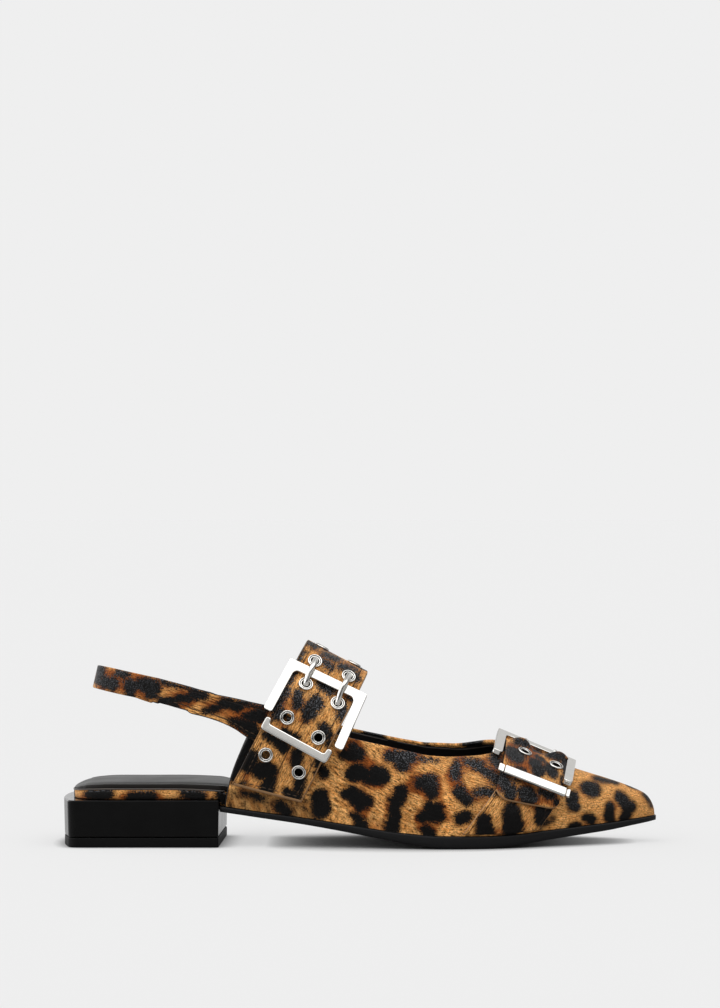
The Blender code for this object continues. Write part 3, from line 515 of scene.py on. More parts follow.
# spots in the picture, as strokes: place across and down and half width at each end
upperSpots = [
    (344, 755, 6, 360, 754, 6.5), (353, 746, 4, 354, 752, 5), (354, 773, 8.5, 362, 773, 8),
    (376, 774, 9, 381, 776, 9), (366, 778, 5, 374, 781, 5), (389, 757, 5.5, 410, 757, 7.5),
    (397, 753, 4, 402, 764, 7.5), (420, 758, 2.5, 437, 760, 1.2), (421, 783, 7, 431, 780, 6.5),
    (428, 785, 8, 433, 792, 6.5), (456, 763, 4.5, 455, 774, 6), (466, 761, 3.5, 480, 766, 5),
    # the stroke from 494, 757 is partly a spot and partly painted shadow beside the toe buckle's bar
    (480, 768, 4.5, 499, 780, 6.5), (494, 757, 5, 499, 766, 4), (346, 794, 5.5, 352, 792, 5.5),
    (356, 798, 8, 366, 801, 7.5), (360, 806, 5, 360, 807, 5), (357, 816, 5, 361, 827, 8),
    (401, 790, 6.5, 399, 797, 7.5), (396, 802, 7, 394, 812, 5.5), (396, 815, 6, 392, 828, 8),
    (424, 817, 6.5, 438, 809, 6.5), (429, 806, 4, 431, 808, 4), (428, 816, 7, 439, 817, 6.5),
    (424, 828, 4, 430, 835, 6.5), (459, 792, 6.5, 466, 800, 6), (475, 792, 4, 492, 793, 5),
    (460, 819, 6.5, 466, 817, 6), (318, 766, 4.5, 324, 773, 5.5), (320, 797, 8.5, 321, 809, 10),
    (279, 806, 6, 286, 813, 6.5), (243, 793, 3, 262, 798, 3), (572, 796, 6, 574, 806, 6.5),
    (588, 787, 7, 593, 790, 7.5), (619, 796, 5.5, 629, 807, 7), (627, 815, 5, 624, 818, 5),
    (610, 807, 4.5, 610, 818, 5), (587, 818, 5.5, 591, 820, 5.5), (571, 827, 4, 580, 825, 3),
    (596, 778, 2.5, 617, 783, 1.5), (645, 793, 2, 652, 806, 1.5), (340, 833, 4, 346, 836, 4),
    # the stroke from 249, 741 darkens the strip behind the strap's back edge, partly as its black edge and partly as
    # painted shadow; the four after it blacken the upper under eyelet holes, as painted shade seen through them
    (249, 741, 6, 233, 777, 5.5), (524, 751, 7, 526, 752, 7), (556, 764, 7, 558, 765, 7), (298, 772, 6, 299, 773, 6),
    (318, 737, 6, 319, 738, 6)]
# painted shade: the lower quarter under the instep strap is darkened as in its shadow, and stretches of the vamp are
# also made darker or paler, as strokes with a depth
upperShades = [(224, 805, 17, 312, 813, 13, 0.6), (412, 778, 6, 414, 832, 6, 0.14), (476, 800, 6, 474, 832, 6, 0.22),
               (372, 806, 7, 380, 828, 7, 0.1), (447, 782, 7, 447, 830, 7, -0.3)]
# soft troughs in the picture: from, to, half width and depth in millimetres
upperCreases = [(300, 796, 291, 815, 0.9, 0.5), (296, 798, 288, 812, 0.9, -0.3), (446, 764, 458, 806, 5.0, 0.4),
                (340, 770, 352, 815, 6.0, 0.35), (600, 786, 640, 800, 4.0, -0.25)]


def toplinePoint(share, side):
    size = upperSizes
    x = blend(size["quarterTop"], size["throat"], np.sin(share * math.pi / 2))
    rise = size["medialRise"] * blend(size["medialBack"], 1.0, ramp(x, *size["medialRun"]))
    rise = rise + size["throatRise"] * ramp(x, *size["throatRun"])
    rise = rise * ease((size["throat"] - x) / size["throatClose"])
    return x, side * turnAtHeight(x, topline.at(x).z + np.where(side > 0, rise, 0.0))


def upperLine(u, v):
    side = np.where(u < 0.5, -1.0, 1.0)
    share = 1 - abs(2 * u - 1)
    tip, tipTop = 0.82, 0.80
    part = np.clip(share / tip, 0, 1)
    over = np.clip((share - tip) / (1 - tip), 0, 1)
    lowX = shoe["length"] - (shoe["length"] - upperSizes["quarterBack"]) * (1 - part) ** 1.7
    topX, topT = toplinePoint(np.where(share < tip, part * tipTop, blend(tipTop, 1.0, over)), side)
    rise = v ** 1.35
    return blend(lowX, topX, rise), blend(side * (1 - over), topT, rise)


def upperRows(w):  # share up the outer side, turn over the top edge, then down the lining
    outer, rim = 0.58, 0.63
    v = np.where(w < outer, w / outer, 1 - np.clip((w - rim) / (1 - rim), 0, 1) ** 1.8)
    return np.clip(v, 0, 1), np.clip((w - outer) / (rim - outer), 0, 1) * math.pi, w > rim


def upperPlace(u, w):
    size = upperSizes
    wall = size["wall"]
    v, turn, inner = upperRows(w)
    wrap = np.clip(1 - np.minimum(u, 1 - u) / size["edge"], 0, 1) * math.pi / 2
    inside = np.clip((u - size["edge"]) / (1 - 2 * size["edge"]), 0, 1)
    x, t = upperLine(inside, v)
    point = lastPoint(x, t)
    out = np.where((x > shoe["length"] - 0.05)[:, None], (1.0, 0.0, 0.0), lastNormal(x, t))
    out[:, 2] *= ease(v * 4)
    out = unit(out)
    top = lastPoint(*upperLine(inside, np.ones_like(v)))
    up = unit(top - lastPoint(*upperLine(inside, np.full_like(v, 0.985))))
    back = unit(point - lastPoint(*upperLine(np.where(u < 0.5, inside + 0.004, inside - 0.004), v)))
    below = np.linalg.norm(top - point, axis=1)
    step = size["step"] * ramp(below, size["band"], size["stepOver"])
    depth = wall * (1 - np.cos(turn)) / 2 + np.where(inner, step, 0.0)
    depth = wall / 2 + (depth - wall / 2) * np.cos(wrap)
    for u0, v0, u1, v1, wide, trough in upperCreases:
        away = -strokeReach(pixelsOf(point), (u0, v0, 0, u1, v1, 0)) * perPixel
        depth = depth + np.where(t < 0.1, trough * bell(away, 0.0, wide), 0.0)
    return (point - out * depth[:, None] + up * (np.sin(turn) * wall * 0.4)[:, None]
            + back * (np.sin(wrap) * wall / 2)[:, None])


def upperPaint(u, w):
    v, turn, inner = upperRows(w)
    below = np.linalg.norm(lastPoint(*upperLine(u, v)) - lastPoint(*upperLine(u, np.ones_like(v))), axis=1)
    # painted highlights: a grey line on the lining's ledge just below the band, and the near half of the top edge in
    # grey
    start, stop = upperSizes["line"]
    lining = np.where((below > start) & (below < stop), 4, 1)
    rim = (turn > 0.3 * math.pi) & (turn < math.pi) & (u < 0.5)
    paint = np.where(rim, 4, np.where(inner & (below > upperSizes["band"]), lining, 0))
    return np.where(np.minimum(u, 1 - u) < upperSizes["edge"] * 0.75, 2, paint)


def upperHair(u, w):
    x, t = upperLine(u, upperRows(w)[0])
    return np.stack((x - 18 * abs(t), t * 58 + 0.08 * x), -1)


def buildUpper():
    bm = gridMesh(upperSizes["columns"], upperSizes["rows"], upperPlace, upperPaint, upperHair)
    bmesh.ops.recalc_face_normals(bm, faces=bm.faces)
    addHide("upperShell", bm, "upper", upperSpots, 3, shades=upperShades)


buildUpper()
print("upper ready")


# bands: a sheet of points with its outward directions, thickened into a strap

class Sheet:
    def __init__(self, points, flip=1.0):
        self.flip = flip
        self.derive(points)

    def derive(self, points):
        self.points = points
        self.out = unit(np.cross(np.gradient(points, axis=0), np.gradient(points, axis=1))) * self.flip
        self.aside = unit(np.gradient(points, axis=0))

    def read(self, field, across, along):
        i = np.clip(np.asarray(across, float), 0, 1) * (field.shape[0] - 1)
        j = np.clip(np.asarray(along, float), 0, 1) * (field.shape[1] - 1)
        i0 = np.minimum(i.astype(int), field.shape[0] - 2)
        j0 = np.minimum(j.astype(int), field.shape[1] - 2)
        fi, fj = (i - i0)[..., None], (j - j0)[..., None]
        return ((1 - fi) * ((1 - fj) * field[i0, j0] + fj * field[i0, j0 + 1])
                + fi * ((1 - fj) * field[i0 + 1, j0] + fj * field[i0 + 1, j0 + 1]))

    def place(self, across, along):
        return self.read(self.points, across, along)

    def outward(self, across, along):
        return unit(self.read(self.out, across, along))


class Band(Sheet):  # cut from the last between two planes that tilt forward
    def __init__(self, size, lateralEnd, medialEnd, lift, reach=None, lines=33, steps=200):
        self.width = size["front"] - size["back"]
        tilt = math.radians(size["tilt"])
        s = np.linspace(-1, 1, 301)
        t = np.sign(s) * (1 - (1 - abs(s)) ** 2)
        rows, self.totals, self.crests = [], [], []
        for across in np.linspace(0, 1, lines):
            low, high = np.full_like(t, 62.0), np.full_like(t, shoe["length"])
            for _ in range(30):
                x = (low + high) / 2
                point = lastPoint(x, t)
                lean = point[:, 0] * math.cos(tilt) - point[:, 2] * math.sin(tilt)
                short = lean < blend(size["back"], size["front"], across)
                low, high = np.where(short, x, low), np.where(short, high, x)
            height = point[:, 2] - last.at(x).feather
            point = point + lastNormal(x, t) * lift(x, t, height)[:, None]
            middle = len(t) // 2
            first = np.interp(lateralEnd(across), height[:middle + 1], np.arange(middle + 1))
            final = len(t) - 1 - np.interp(medialEnd(across), height[:middle - 1:-1], np.arange(middle + 1))
            index = np.concatenate(([first], np.arange(math.floor(first) + 1, math.ceil(final)), [final]))
            line = np.stack([np.interp(index, np.arange(len(t)), point[:, k]) for k in range(3)], -1)
            length = np.concatenate(([0.0], np.cumsum(np.linalg.norm(np.diff(line, axis=0), axis=1))))
            self.totals.append(length[-1])
            self.crests.append(np.interp(middle, index, length))
            places = np.linspace(0, reach or length[-1], steps + 1)
            rows.append(np.stack([np.interp(places, length, line[:, k]) for k in range(3)], -1))
        super().__init__(np.array(rows))

    def spread(self):  # offset from the middle and length from the crest at each point
        across = np.linspace(0, 1, len(self.totals))[:, None]
        along = np.linspace(0, 1, self.points.shape[1])[None]
        return (across - 0.5) * self.width, np.array(self.crests)[:, None] - along * np.array(self.totals)[:, None]

    def press(self, depth):  # push the band in or out
        self.derive(self.points + self.out * depth(*self.spread())[..., None])

    def flare(self, amount):  # widen the band sideways
        self.derive(self.points + self.aside * amount(*self.spread())[..., None])

    def fromCrest(self, length, across=0.5):
        places = np.linspace(0, 1, len(self.totals))
        return (np.interp(across, places, self.crests) - length) / np.interp(across, places, self.totals)

    def seatAt(self, offset, length):  # place and outward direction, at an offset from the middle
        across = 0.5 + offset / self.width
        along = self.fromCrest(length, across)
        return self.place(across, along), self.outward(across, along)


# paints number the hide's layers; folds count the faces of hide turned over each edge, except on bare lengths
# below the fold an edge takes its paint; where that is black it is partly edge paint and partly painted shade where the
# edge meets what lies under it
def strapMesh(sheet, size, holes=(), edgePaints=(2, 2), endRound=(0.01, 0.01), endPaint=0, folds=(2, 2), bare=()):
    wall, wide = size["wall"], size["wide"]
    across, along = size["cells"]
    sides, full = 5, 0.28  # faces round an edge, and how far it swells
    turns = np.linspace(math.pi / 2, -math.pi / 2, sides + 1)[1:-1]
    there, flat = np.linspace(0, 1, across + 1), np.zeros(across + 1)
    a = np.concatenate((there, np.ones(sides - 1), np.linspace(1, 0, across + 1), np.zeros(sides - 1)))
    h = np.concatenate((flat + 1, 0.5 + 0.5 * np.sin(turns), flat, 0.5 - 0.5 * np.sin(turns)))
    bulge = np.concatenate((flat, np.cos(turns), flat, -np.cos(turns)))
    around = len(a)

    def place(u, v):
        i = np.rint(u * around).astype(int) % around
        close = np.clip(np.minimum(v / endRound[0], (1 - v) / endRound[1]), 0, 1)
        lift = wall * (0.5 + (h[i] - 0.5) * np.sqrt(1 - (1 - close) ** 2))
        return (sheet.place(a[i], v) + sheet.outward(a[i], v) * lift[:, None]
                + sheet.read(sheet.aside, a[i], v) * (bulge[i] * wall * full)[:, None])

    def paint(u, v):
        i = (u * around).astype(int)
        side = np.where(i < across + sides, edgePaints[0], np.where(i < 2 * across + sides, 1, edgePaints[1]))
        folded = (i < across + folds[0]) | (i >= around - folds[1])
        for start, stop in bare:
            folded = folded & ((i < across) | (v < start) | (v > stop))
        side = np.where(folded, 0, side)
        return np.where((v < endRound[0] * 0.7) & (i < 2 * across + sides), endPaint, side)

    def hair(u, v):
        loop = np.append(a, a[0])[np.rint(u * around).astype(int)]
        return np.stack((v * size["long"] + loop * 4, loop * wide), -1)

    def seam(u, v):
        loop = np.append(a, a[0])[np.rint(u * around).astype(int)]
        away, depth = np.full(len(u), 99.0), np.zeros(len(u))
        for line, deep in size["seams"]:
            gap = loop * wide - line
            if bare:
                gap = np.where(sum((v >= start) & (v <= stop) for start, stop in bare), gap, 99.0)
            depth = np.where(abs(gap) < abs(away), deep, depth)
            away = np.where(abs(gap) < abs(away), gap, away)
        return np.stack((away, depth), -1)

    bm = gridMesh(around, along, place, paint, hair, seam)
    bmesh.ops.recalc_face_normals(bm, faces=bm.faces)
    for point, out in holes:
        point, out = Vector(point), Vector(out)
        cut = []
        for face in bm.faces:
            offset = face.calc_center_median() - point
            down = offset.dot(out)
            if abs(down) < wall * 2.5 and (offset - out * down).length < size["cut"]:
                cut.append(face)
        bmesh.ops.delete(bm, geom=cut, context="FACES")
        bmesh.ops.bridge_loops(bm, edges=[edge for edge in bm.edges if edge.is_boundary])
    return bm


# stitches: small stretched beads along a line on a sheet

stitchSizes = dict(spacing=2.9, length=2.2, radius=0.27, sink=0.08, reads=160)


def stitchRow(sheet, across, along, wall):  # from and to across the sheet, and from and to along it
    size = stitchSizes
    across, along = np.linspace(*across, size["reads"]), np.linspace(*along, size["reads"])
    outs = sheet.outward(across, along)
    points = sheet.place(across, along) + outs * (wall - size["sink"])
    length = np.concatenate(([0.0], np.cumsum(np.linalg.norm(np.diff(points, axis=0), axis=1))))
    grow = Matrix.Diagonal((size["length"] / 2, size["radius"], size["radius"], 1.0))

    def read(rows, at):
        return np.array([np.interp(at, length, rows[:, k]) for k in range(3)])

    bm = bmesh.new()
    for at in np.arange(size["spacing"] / 2, length[-1], size["spacing"]):
        ahead = Vector(unit(read(points, at + 0.3) - read(points, at - 0.3)))
        side = Vector(read(outs, at)).cross(ahead).normalized()
        turn = Matrix((ahead, side, ahead.cross(side))).transposed().to_4x4()
        bmesh.ops.create_uvsphere(bm, u_segments=6, v_segments=5, radius=1.0,
                                  matrix=Matrix.Translation(read(points, at)) @ turn @ grow)
    for face in bm.faces:
        face.smooth = True
    return bm


# sling strap

slingSizes = dict(wall=1.5, back=15.6, straight=78.0, front=103.0, square=3.0, lean=0.23, leanOver=20.0,
                  farDrop=3.6, legs=0.36, tabs=((0.0, 0.235), (0.765, 1.0)), seams=((1.87, 0.95), (9.6, 0.7)),
                  thread=0.17, wide=11.0, long=250.0, cells=(20, 420))
slingEdges = Curves("x top bottom", [
    (15, 82.5, 73.05), (22, 80.95, 71.2), (30, 79.1, 69.35), (35.5, 77.9, 68.2), (38.5, 77.25, 67.15),
    (42.4, 76.4, 65.9), (43, 76.3, 65.7), (43.5, 76.2, 66.45), (44.2, 76.0, 66.3), (49, 74.75, 65.1),
    (54.5, 73.3, 63.55), (58.2, 72.2, 62.5), (59.4, 71.85, 62.15), (59.9, 71.7, 61.2), (60.6, 71.5, 61.0),
    (65, 70.5, 59.9), (68, 69.5, 59.0), (71, 68.8, 57.95), (75, 68.1, 56.3), (80, 67.1, 53.65), (85, 65.9, 50.3),
    (92, 64.4, 47.3), (103, 61.9, 46.0)])
slingSpots = [
    (99, 668, 4.5, 98, 680, 4), (104, 682, 5, 112, 684, 6), (119, 673, 3.5, 127, 674, 3.5),
    (130, 684, 6, 130, 695, 4), (138, 684, 5, 152, 687, 8.5), (150, 694, 5, 154, 695, 4),
    (163, 682, 2, 188, 689, 1.5), (160, 702, 3.5, 186, 698, 4.5), (172, 705, 3, 176, 705, 3),
    (194, 694, 5.5, 204, 696, 4.5), (223, 703, 4.5, 238, 706, 4.5), (205, 711, 2.5, 218, 708, 3),
    (246, 716, 3.5, 260, 716, 7), (232, 721, 3, 250, 728, 7), (252, 733, 6, 258, 738, 5),
    (240, 702, 1.2, 264, 707, 1.8)]


def slingSheet():
    size = slingSizes
    u = np.linspace(0, 1, 401)[None]
    v = np.linspace(0, 1, 13)[:, None]
    side = np.where(u < 0.5, 1.0, -1.0)
    share = abs(2 * u - 1)
    legs = size["legs"]
    turn = np.clip(1 - share / (1 - legs), 0, 1) * math.pi / 2
    bend = size["straight"] - (size["straight"] - size["back"]) * np.sin(turn) ** (2 / size["square"])
    x = np.where(share > 1 - legs, blend(size["straight"], size["front"], (share - 1 + legs) / legs), bend)
    y = np.where(share > 1 - legs, 1.0, np.cos(turn) ** (2 / size["square"]))
    row = slingEdges.at(x)
    rise = (v - 0.5) * (row.top - row.bottom)
    z = (row.top + row.bottom) / 2 + rise - size["farDrop"] * (1 + side * y) / 2
    lean = size["lean"] * rise * ease((size["straight"] - x) / size["leanOver"])
    ahead = np.maximum(x, size["straight"]) + 0 * v
    wall = lastPoint(ahead, side * turnAtHeight(ahead, z))[..., 1] + side * shoe["gap"]
    return Sheet(np.stack((x + lean, wall * y, z), -1), -1.0)


def buildSling():
    sheet = slingSheet()
    if sheet.outward(0.5, 0.5)[0] > 0:
        sheet.flip = -sheet.flip
        sheet.derive(sheet.points)
    size = slingSizes
    bm = strapMesh(sheet, size, bare=size["tabs"])
    addHide("slingBand", bm, "sling_strap", slingSpots, 5, big=4.2, grow=0.35)
    rows = [stitchRow(sheet, (size["thread"], size["thread"]), tab, size["wall"]) for tab in size["tabs"]]
    addPiece("slingThread", joinMeshes(rows), (stitchThread,), None)


buildSling()
print("sling ready")


# instep strap, toe strap and its base

# bar is the place of the buckle's high bar, seams are (place across, depth), cut is the radius of a hole,
# clear is the room under the strap on the upper and on the layer between, at is (centre, wide) for a bell
# the last seam, 0.15 across, is a painted shadow: a dark line along that edge of the instep strap
instepSizes = dict(tilt=27.6, back=56.5, front=87.0, endBack=10.3, endFront=6.8, wall=2.2, spacing=16.7, ahead=0.0,
                   clear=(0.1, 0.2), slingRun=(14, 12), crestDrop=0.6, crestRun=(66, 8), bar=25.4, sink=2.6,
                   sinkWide=6.0, hold=1.9, holdRun=(10, 4), holdAt=(37, 13), cut=2.5,
                   seams=((15.25, 0.95), (2.8, 0.6), (27.7, 0.85), (0.15, 0.8)), wide=30.5, long=168.0, cells=(44, 250))
# each row of two eyelets: how far down the strap, how far ahead, and how much lower its front one lies
instepRows = dict(first=(67.5, 0.1, 0.6), second=(49.3, 1.0, 2.4), belowBar=(32.6, 1.4, 1.9),
                  aboveBar=(17.9, 0.1, -0.6), last=(0.8, 0.0, 0.0))
instepSpots = [
    (298, 694, 4, 298, 705, 4.5), (316, 702, 7, 310, 712, 7.5), (306, 718, 4, 305, 721, 2),
    (287, 690, 3, 276, 708, 4.5), (280, 712, 5, 278, 716, 5), (293, 671, 4, 289, 680, 4),
    (322, 684, 4.5, 330, 690, 5), (341, 706, 5, 343, 716, 6), (349, 696, 2, 353, 700, 2),
    # the stroke from 266, 734 is a painted shadow under the low bar
    (323, 727, 4.5, 327, 735, 6), (330, 743, 4, 331, 746, 4), (285, 731, 3, 296, 738, 4), (266, 734, 3, 284, 747, 5),
    (252, 757, 7, 247, 766, 6), (261, 771, 9, 270, 770, 7), (270, 781, 6.5, 267, 791, 6.5),
    (297, 753, 5.5, 297, 762, 5.5), (300, 781, 6, 298, 789, 5), (287, 793, 4, 297, 797, 5),
    (310, 642, 3, 316, 647, 2.6), (324, 654, 3.2, 338, 659, 2.6), (323, 661, 2.8, 331, 667, 3),
    (341, 667, 3.4, 353, 671, 3.6), (356, 674, 3, 357, 678, 3), (303, 652, 2, 300, 658, 2)]
toeSizes = dict(tilt=18.0, back=178.9, front=208.1, medialEnd=1.2, wall=1.8, spacing=15.6, ahead=1.7,
                clear=(0.1, 0.1), baseRun=(0.2, 0.3), bar=-2.6, sink=1.6, sinkWide=3.4, hump=3.6, humpAt=(2.3, 2.2),
                humpApart=0.6, humpWide=4.2, flare=2.4, flareRun=(28, 9), flareFront=(-2, 15), cut=2.5,
                seams=((1.9, 0.3), (27.3, 0.3)), wide=29.2, long=95.0, cells=(44, 170))
toeRows = dict(first=(12.6, 0.4, 1.2), aboveBar=(-5.4, 0.0, 0.0))
toeEnd = Curves("across height", [
    (0.0, 19.6), (0.06, 17.6), (0.16, 15.6), (0.4, 13.6), (0.7, 11.0), (0.9, 9.6), (0.97, 10.0), (1.0, 11.6)])
toeSpots = [
    (512, 752, 5.5, 518, 757, 5), (517, 741, 3, 526, 744, 2.5), (535, 763, 4.5, 539, 771, 4.5),
    (549, 767, 3.5, 553, 773, 3.5), (550, 753, 3, 560, 757, 3), (565, 760, 3, 567, 778, 2.5),
    (565, 779, 3, 565, 782, 3), (503, 781, 5, 510, 793, 5.5), (526, 794, 7, 530, 797, 6.5),
    # the stroke from 541, 791 is a painted shadow under the low bar
    (541, 791, 3, 552, 796, 3), (500, 774, 3.5, 501, 778, 4), (556, 802, 2, 559, 804, 2)]
baseSizes = dict(tilt=37.5, back=140.5, front=166.6, low=0.8, reach=26.0, wall=1.2,
                 seams=((1.3, 0.8), (24.7, 0.8)), wide=26.0, long=26.0, cells=(40, 40))
baseSpots = [(484, 821, 8, 484, 833, 10), (511, 810, 8, 513, 827, 11), (541, 811, 6.5, 541, 822, 6),
             (548, 812, 5, 549, 816, 4)]


def instepLift(x, t, height):
    size = instepSizes
    low, high = shoe["gap"] + size["clear"][0], 2 * shoe["gap"] + slingSizes["wall"] + size["clear"][1]
    return blend(low, high, ramp(height, *size["slingRun"])) - size["crestDrop"] * ramp(height, *size["crestRun"])


def toeLift(x, t, height):
    size = toeSizes
    low, high = shoe["gap"] + size["clear"][0], 2 * shoe["gap"] + baseSizes["wall"] + size["clear"][1]
    return blend(low, high, ramp(-t, *size["baseRun"]))


def baseLift(x, t, height):
    return np.full_like(x, shoe["gap"])


def instepEnd(across):
    return blend(instepSizes["endBack"], instepSizes["endFront"], across)


def toeFreeEnd(across):
    return float(toeEnd.at(across).height)


def toeFarEnd(across):
    return toeSizes["medialEnd"]


def baseEnd(across):
    return baseSizes["low"]


instepBand = Band(instepSizes, instepEnd, instepEnd, instepLift)
toeBand = Band(toeSizes, toeFreeEnd, toeFarEnd, toeLift, lines=49)
baseBand = Band(baseSizes, baseEnd, baseEnd, baseLift, reach=baseSizes["reach"])


def instepPull(offset, length):  # the strap sinks where it runs under the high bar
    size = instepSizes
    held = size["hold"] * ramp(-offset, *size["holdRun"]) * bell(length, *size["holdAt"])
    return -size["sink"] * bell(length, size["bar"], size["sinkWide"]) - held


def toePull(offset, length):  # the strap sinks under the high bar, with a hump before it at each prong
    size = toeSizes
    apart = size["spacing"] * size["humpApart"]
    humps = sum(bell(offset - size["ahead"], side * apart, size["humpWide"]) for side in (-1, 1))
    sink = size["sink"] * bell(length, size["bar"], size["sinkWide"])
    return size["hump"] * humps * bell(length, *size["humpAt"]) - sink


def toeFlare(offset, length):  # the front corner of the free end runs out wider
    return toeSizes["flare"] * ramp(length, *toeSizes["flareRun"]) * ramp(offset, *toeSizes["flareFront"])


instepBand.press(instepPull)
toeBand.press(toePull)
toeBand.flare(toeFlare)


def eyeletSeats(band, size, rows):  # places on the outer face, two to a row
    seats = []
    for length, aside, lean in rows.values():
        for side in (-1, 1):
            offset = size["ahead"] + aside + side * size["spacing"] / 2
            point, out = band.seatAt(offset, length + side * lean / 2)
            seats.append((point + out * (size["wall"] + 0.12), out))
    return seats


instepSeats = eyeletSeats(instepBand, instepSizes, instepRows)
toeSeats = eyeletSeats(toeBand, toeSizes, toeRows)


def buildStraps():
    bm = strapMesh(instepBand, instepSizes, instepSeats, (3, 2), (0.009, 0.009), endPaint=3, folds=(0, 2))
    addHide("instepBand", bm, "instep_strap", instepSpots, 7, grow=0.3, rust=0.55)
    wall = instepSizes["wall"]
    rows = [stitchRow(instepBand, (a, a), (0.02, 0.98), wall) for a in (0.092, 0.908)]
    rows += [stitchRow(instepBand, (0.1, 0.9), (v, v), wall) for v in (0.016, 0.984)]
    addPiece("instepThread", joinMeshes(rows), (stitchThread,), None)
    bm = strapMesh(toeBand, toeSizes, toeSeats, endRound=(0.012, 0.01), endPaint=3, folds=(1, 1))
    addHide("toeBand", bm, "toe_strap", toeSpots, 9, grow=0.8, rust=1.8)
    bm = strapMesh(baseBand, baseSizes, edgePaints=(3, 3), folds=(0, 0))
    addHide("toeBase", bm, "toe_strap_base", baseSpots, 11)


buildStraps()
print("straps ready")


# eyelets: a rolled flange on a short barrel

# lining is the depth of the painted shade disc in a hole
eyeletSizes = dict(radius=3.4, groove=2.6, hole=1.9, barrel=2.2, rise=0.7, lip=0.5, lining=-0.7, steps=36)


def eyeletMesh(depth, paintedShadeDisc):
    size = eyeletSizes
    bm = bmesh.new()
    profile = []
    for outer, inner, rise in ((size["radius"], size["groove"], size["rise"]),
                               (size["groove"], size["hole"], size["lip"])):
        middle, half = (outer + inner) / 2, (outer - inner) / 2
        for turn in np.linspace(0, math.pi, 8)[profile != []:]:
            profile.append((middle + half * math.cos(turn), 0.05 + rise * max(math.sin(turn), 0.0) ** 0.7))
    profile += [(size["hole"], -depth), (size["barrel"], -depth), (size["barrel"], 0.0)]
    verts = [bm.verts.new((r, 0.0, z)) for r, z in profile]
    edges = [bm.edges.new(pair) for pair in zip(verts, verts[1:] + verts[:1])]
    bmesh.ops.spin(bm, geom=verts + edges, cent=(0, 0, 0), axis=(0, 0, 1), angle=math.tau,
                   steps=size["steps"], use_merge=True)
    bmesh.ops.remove_doubles(bm, verts=bm.verts, dist=0.001)
    bmesh.ops.recalc_face_normals(bm, faces=bm.faces)
    for face in bm.faces:
        face.smooth = True
        middle = math.hypot(*face.calc_center_median().xy)
        # painted shade: the groove and the wall of the hole are painted black, standing in for shade in these hollows
        face.material_index = abs(middle - size["groove"]) < 0.14 or middle < size["hole"] + 0.02
    if paintedShadeDisc:  # painted shade: a black disc deep in the hole stands in for the shade seen through it
        disc = bmesh.ops.create_circle(bm, cap_ends=True, segments=24, radius=size["hole"] + 0.1,
                                       matrix=Matrix.Translation((0, 0, size["lining"])))
        for face in disc["verts"][0].link_faces:
            face.material_index = 1
    return bm


def buildEyelets(name, prefix, seats, wall, paintedShadeDisc=()):
    parts = []
    for i, (point, out) in enumerate(seats):
        bm = eyeletMesh(wall - 0.1, i in paintedShadeDisc)
        turn = Vector(out).to_track_quat("Z", "Y").to_matrix().to_4x4()
        bmesh.ops.transform(bm, matrix=Matrix.Translation(point) @ turn, verts=bm.verts)
        parts.append(bm)
    nodes = [f"{prefix}_eyelet_{i}" for i in range(1, len(seats) + 1)]
    addPiece(name, joinMeshes(parts), (buckleMetal, edgePaintAndShade), "buckle_metal", *nodes)


buildEyelets("instepEyelets", "instep", instepSeats, instepSizes["wall"])
buildEyelets("toeEyelets", "toe", toeSeats, toeSizes["wall"], (0, 1))


# buckles: a three sided frame, a low bar that tucks under it, two prongs over the high bar

# pairs are (back, front); splay moves the front side bar's top and tip, prongOver is its rise over the high bar
instepBuckle = dict(low=55.6, width=40.2, standLow=2.2, standHigh=0.8, aside=1.2, tips=(27.4, 29.4), splay=(-1.2, 0.9),
                    turn=0.0, slide=0.0, lowEnds=(2.7, 3.3), ears=(2.6, 3.0), caps=(0.0, 0.0), lowWide=3.8,
                    lowThick=2.6, roll=12.3, lowTurn=-3.0, prong=1.35, prongOver=1.45)
toeBuckle = dict(low=29.6, width=38.8, standLow=2.6, standHigh=1.5, aside=-0.6, tips=(28.5, 30.0), splay=(0.0, 0.0),
                 turn=-4.6, slide=-0.9, lowEnds=(2.2, 1.7), ears=(0.0, 0.0), caps=(3.0, 2.0), lowWide=4.6,
                 lowThick=1.9, roll=30.0, lowTurn=0.0, prong=0.8, prongOver=-0.35)
barSizes = dict(wide=4.3, thick=2.4, soft=0.3, drop=2.4, lowSoft=0.55, tipRound=1.3, topRound=0.9, insideRound=2.2,
                ear=2.8, earRound=1.2, earFoot=1.0, lowRound=1.8, rollerRound=0.5, capGap=0.3, capInset=0.2,
                capRounds=(0.6, 0.4), capThin=0.8, capLean=(6, -20), prongSink=0.8, prongRise=0.9, shoulder=0.2)


def plateMesh(corners, thick, soft, steps=5):  # corners are (x, y, radius); the plate's edges are softened
    bm = bmesh.new()
    verts = [bm.verts.new((a, b, -thick / 2)) for a, b, _ in corners]
    bm.faces.new(verts)
    for vert, (_, _, radius) in zip(verts, corners):
        bmesh.ops.bevel(bm, geom=[vert], offset=radius, affect="VERTICES", segments=steps, profile=0.5, material=-1)
    grown = bmesh.ops.extrude_face_region(bm, geom=bm.faces[:])["geom"]
    raised = [part for part in grown if isinstance(part, bmesh.types.BMVert)]
    bmesh.ops.translate(bm, vec=(0, 0, thick), verts=raised)
    bmesh.ops.recalc_face_normals(bm, faces=bm.faces)
    rims = [edge for edge in bm.edges if abs(edge.verts[0].co.z - edge.verts[1].co.z) < 1e-5]
    bmesh.ops.bevel(bm, geom=rims, offset=soft, affect="EDGES", segments=3, profile=0.5, material=-1)
    for face in bm.faces:
        face.smooth = True
    return bm


def flatFaces(piece):  # keeps broad faces flat beside their rounded edges
    even = piece.modifiers.new("flatFaces", "WEIGHTED_NORMAL")
    even.weight, even.keep_sharp = 90, True


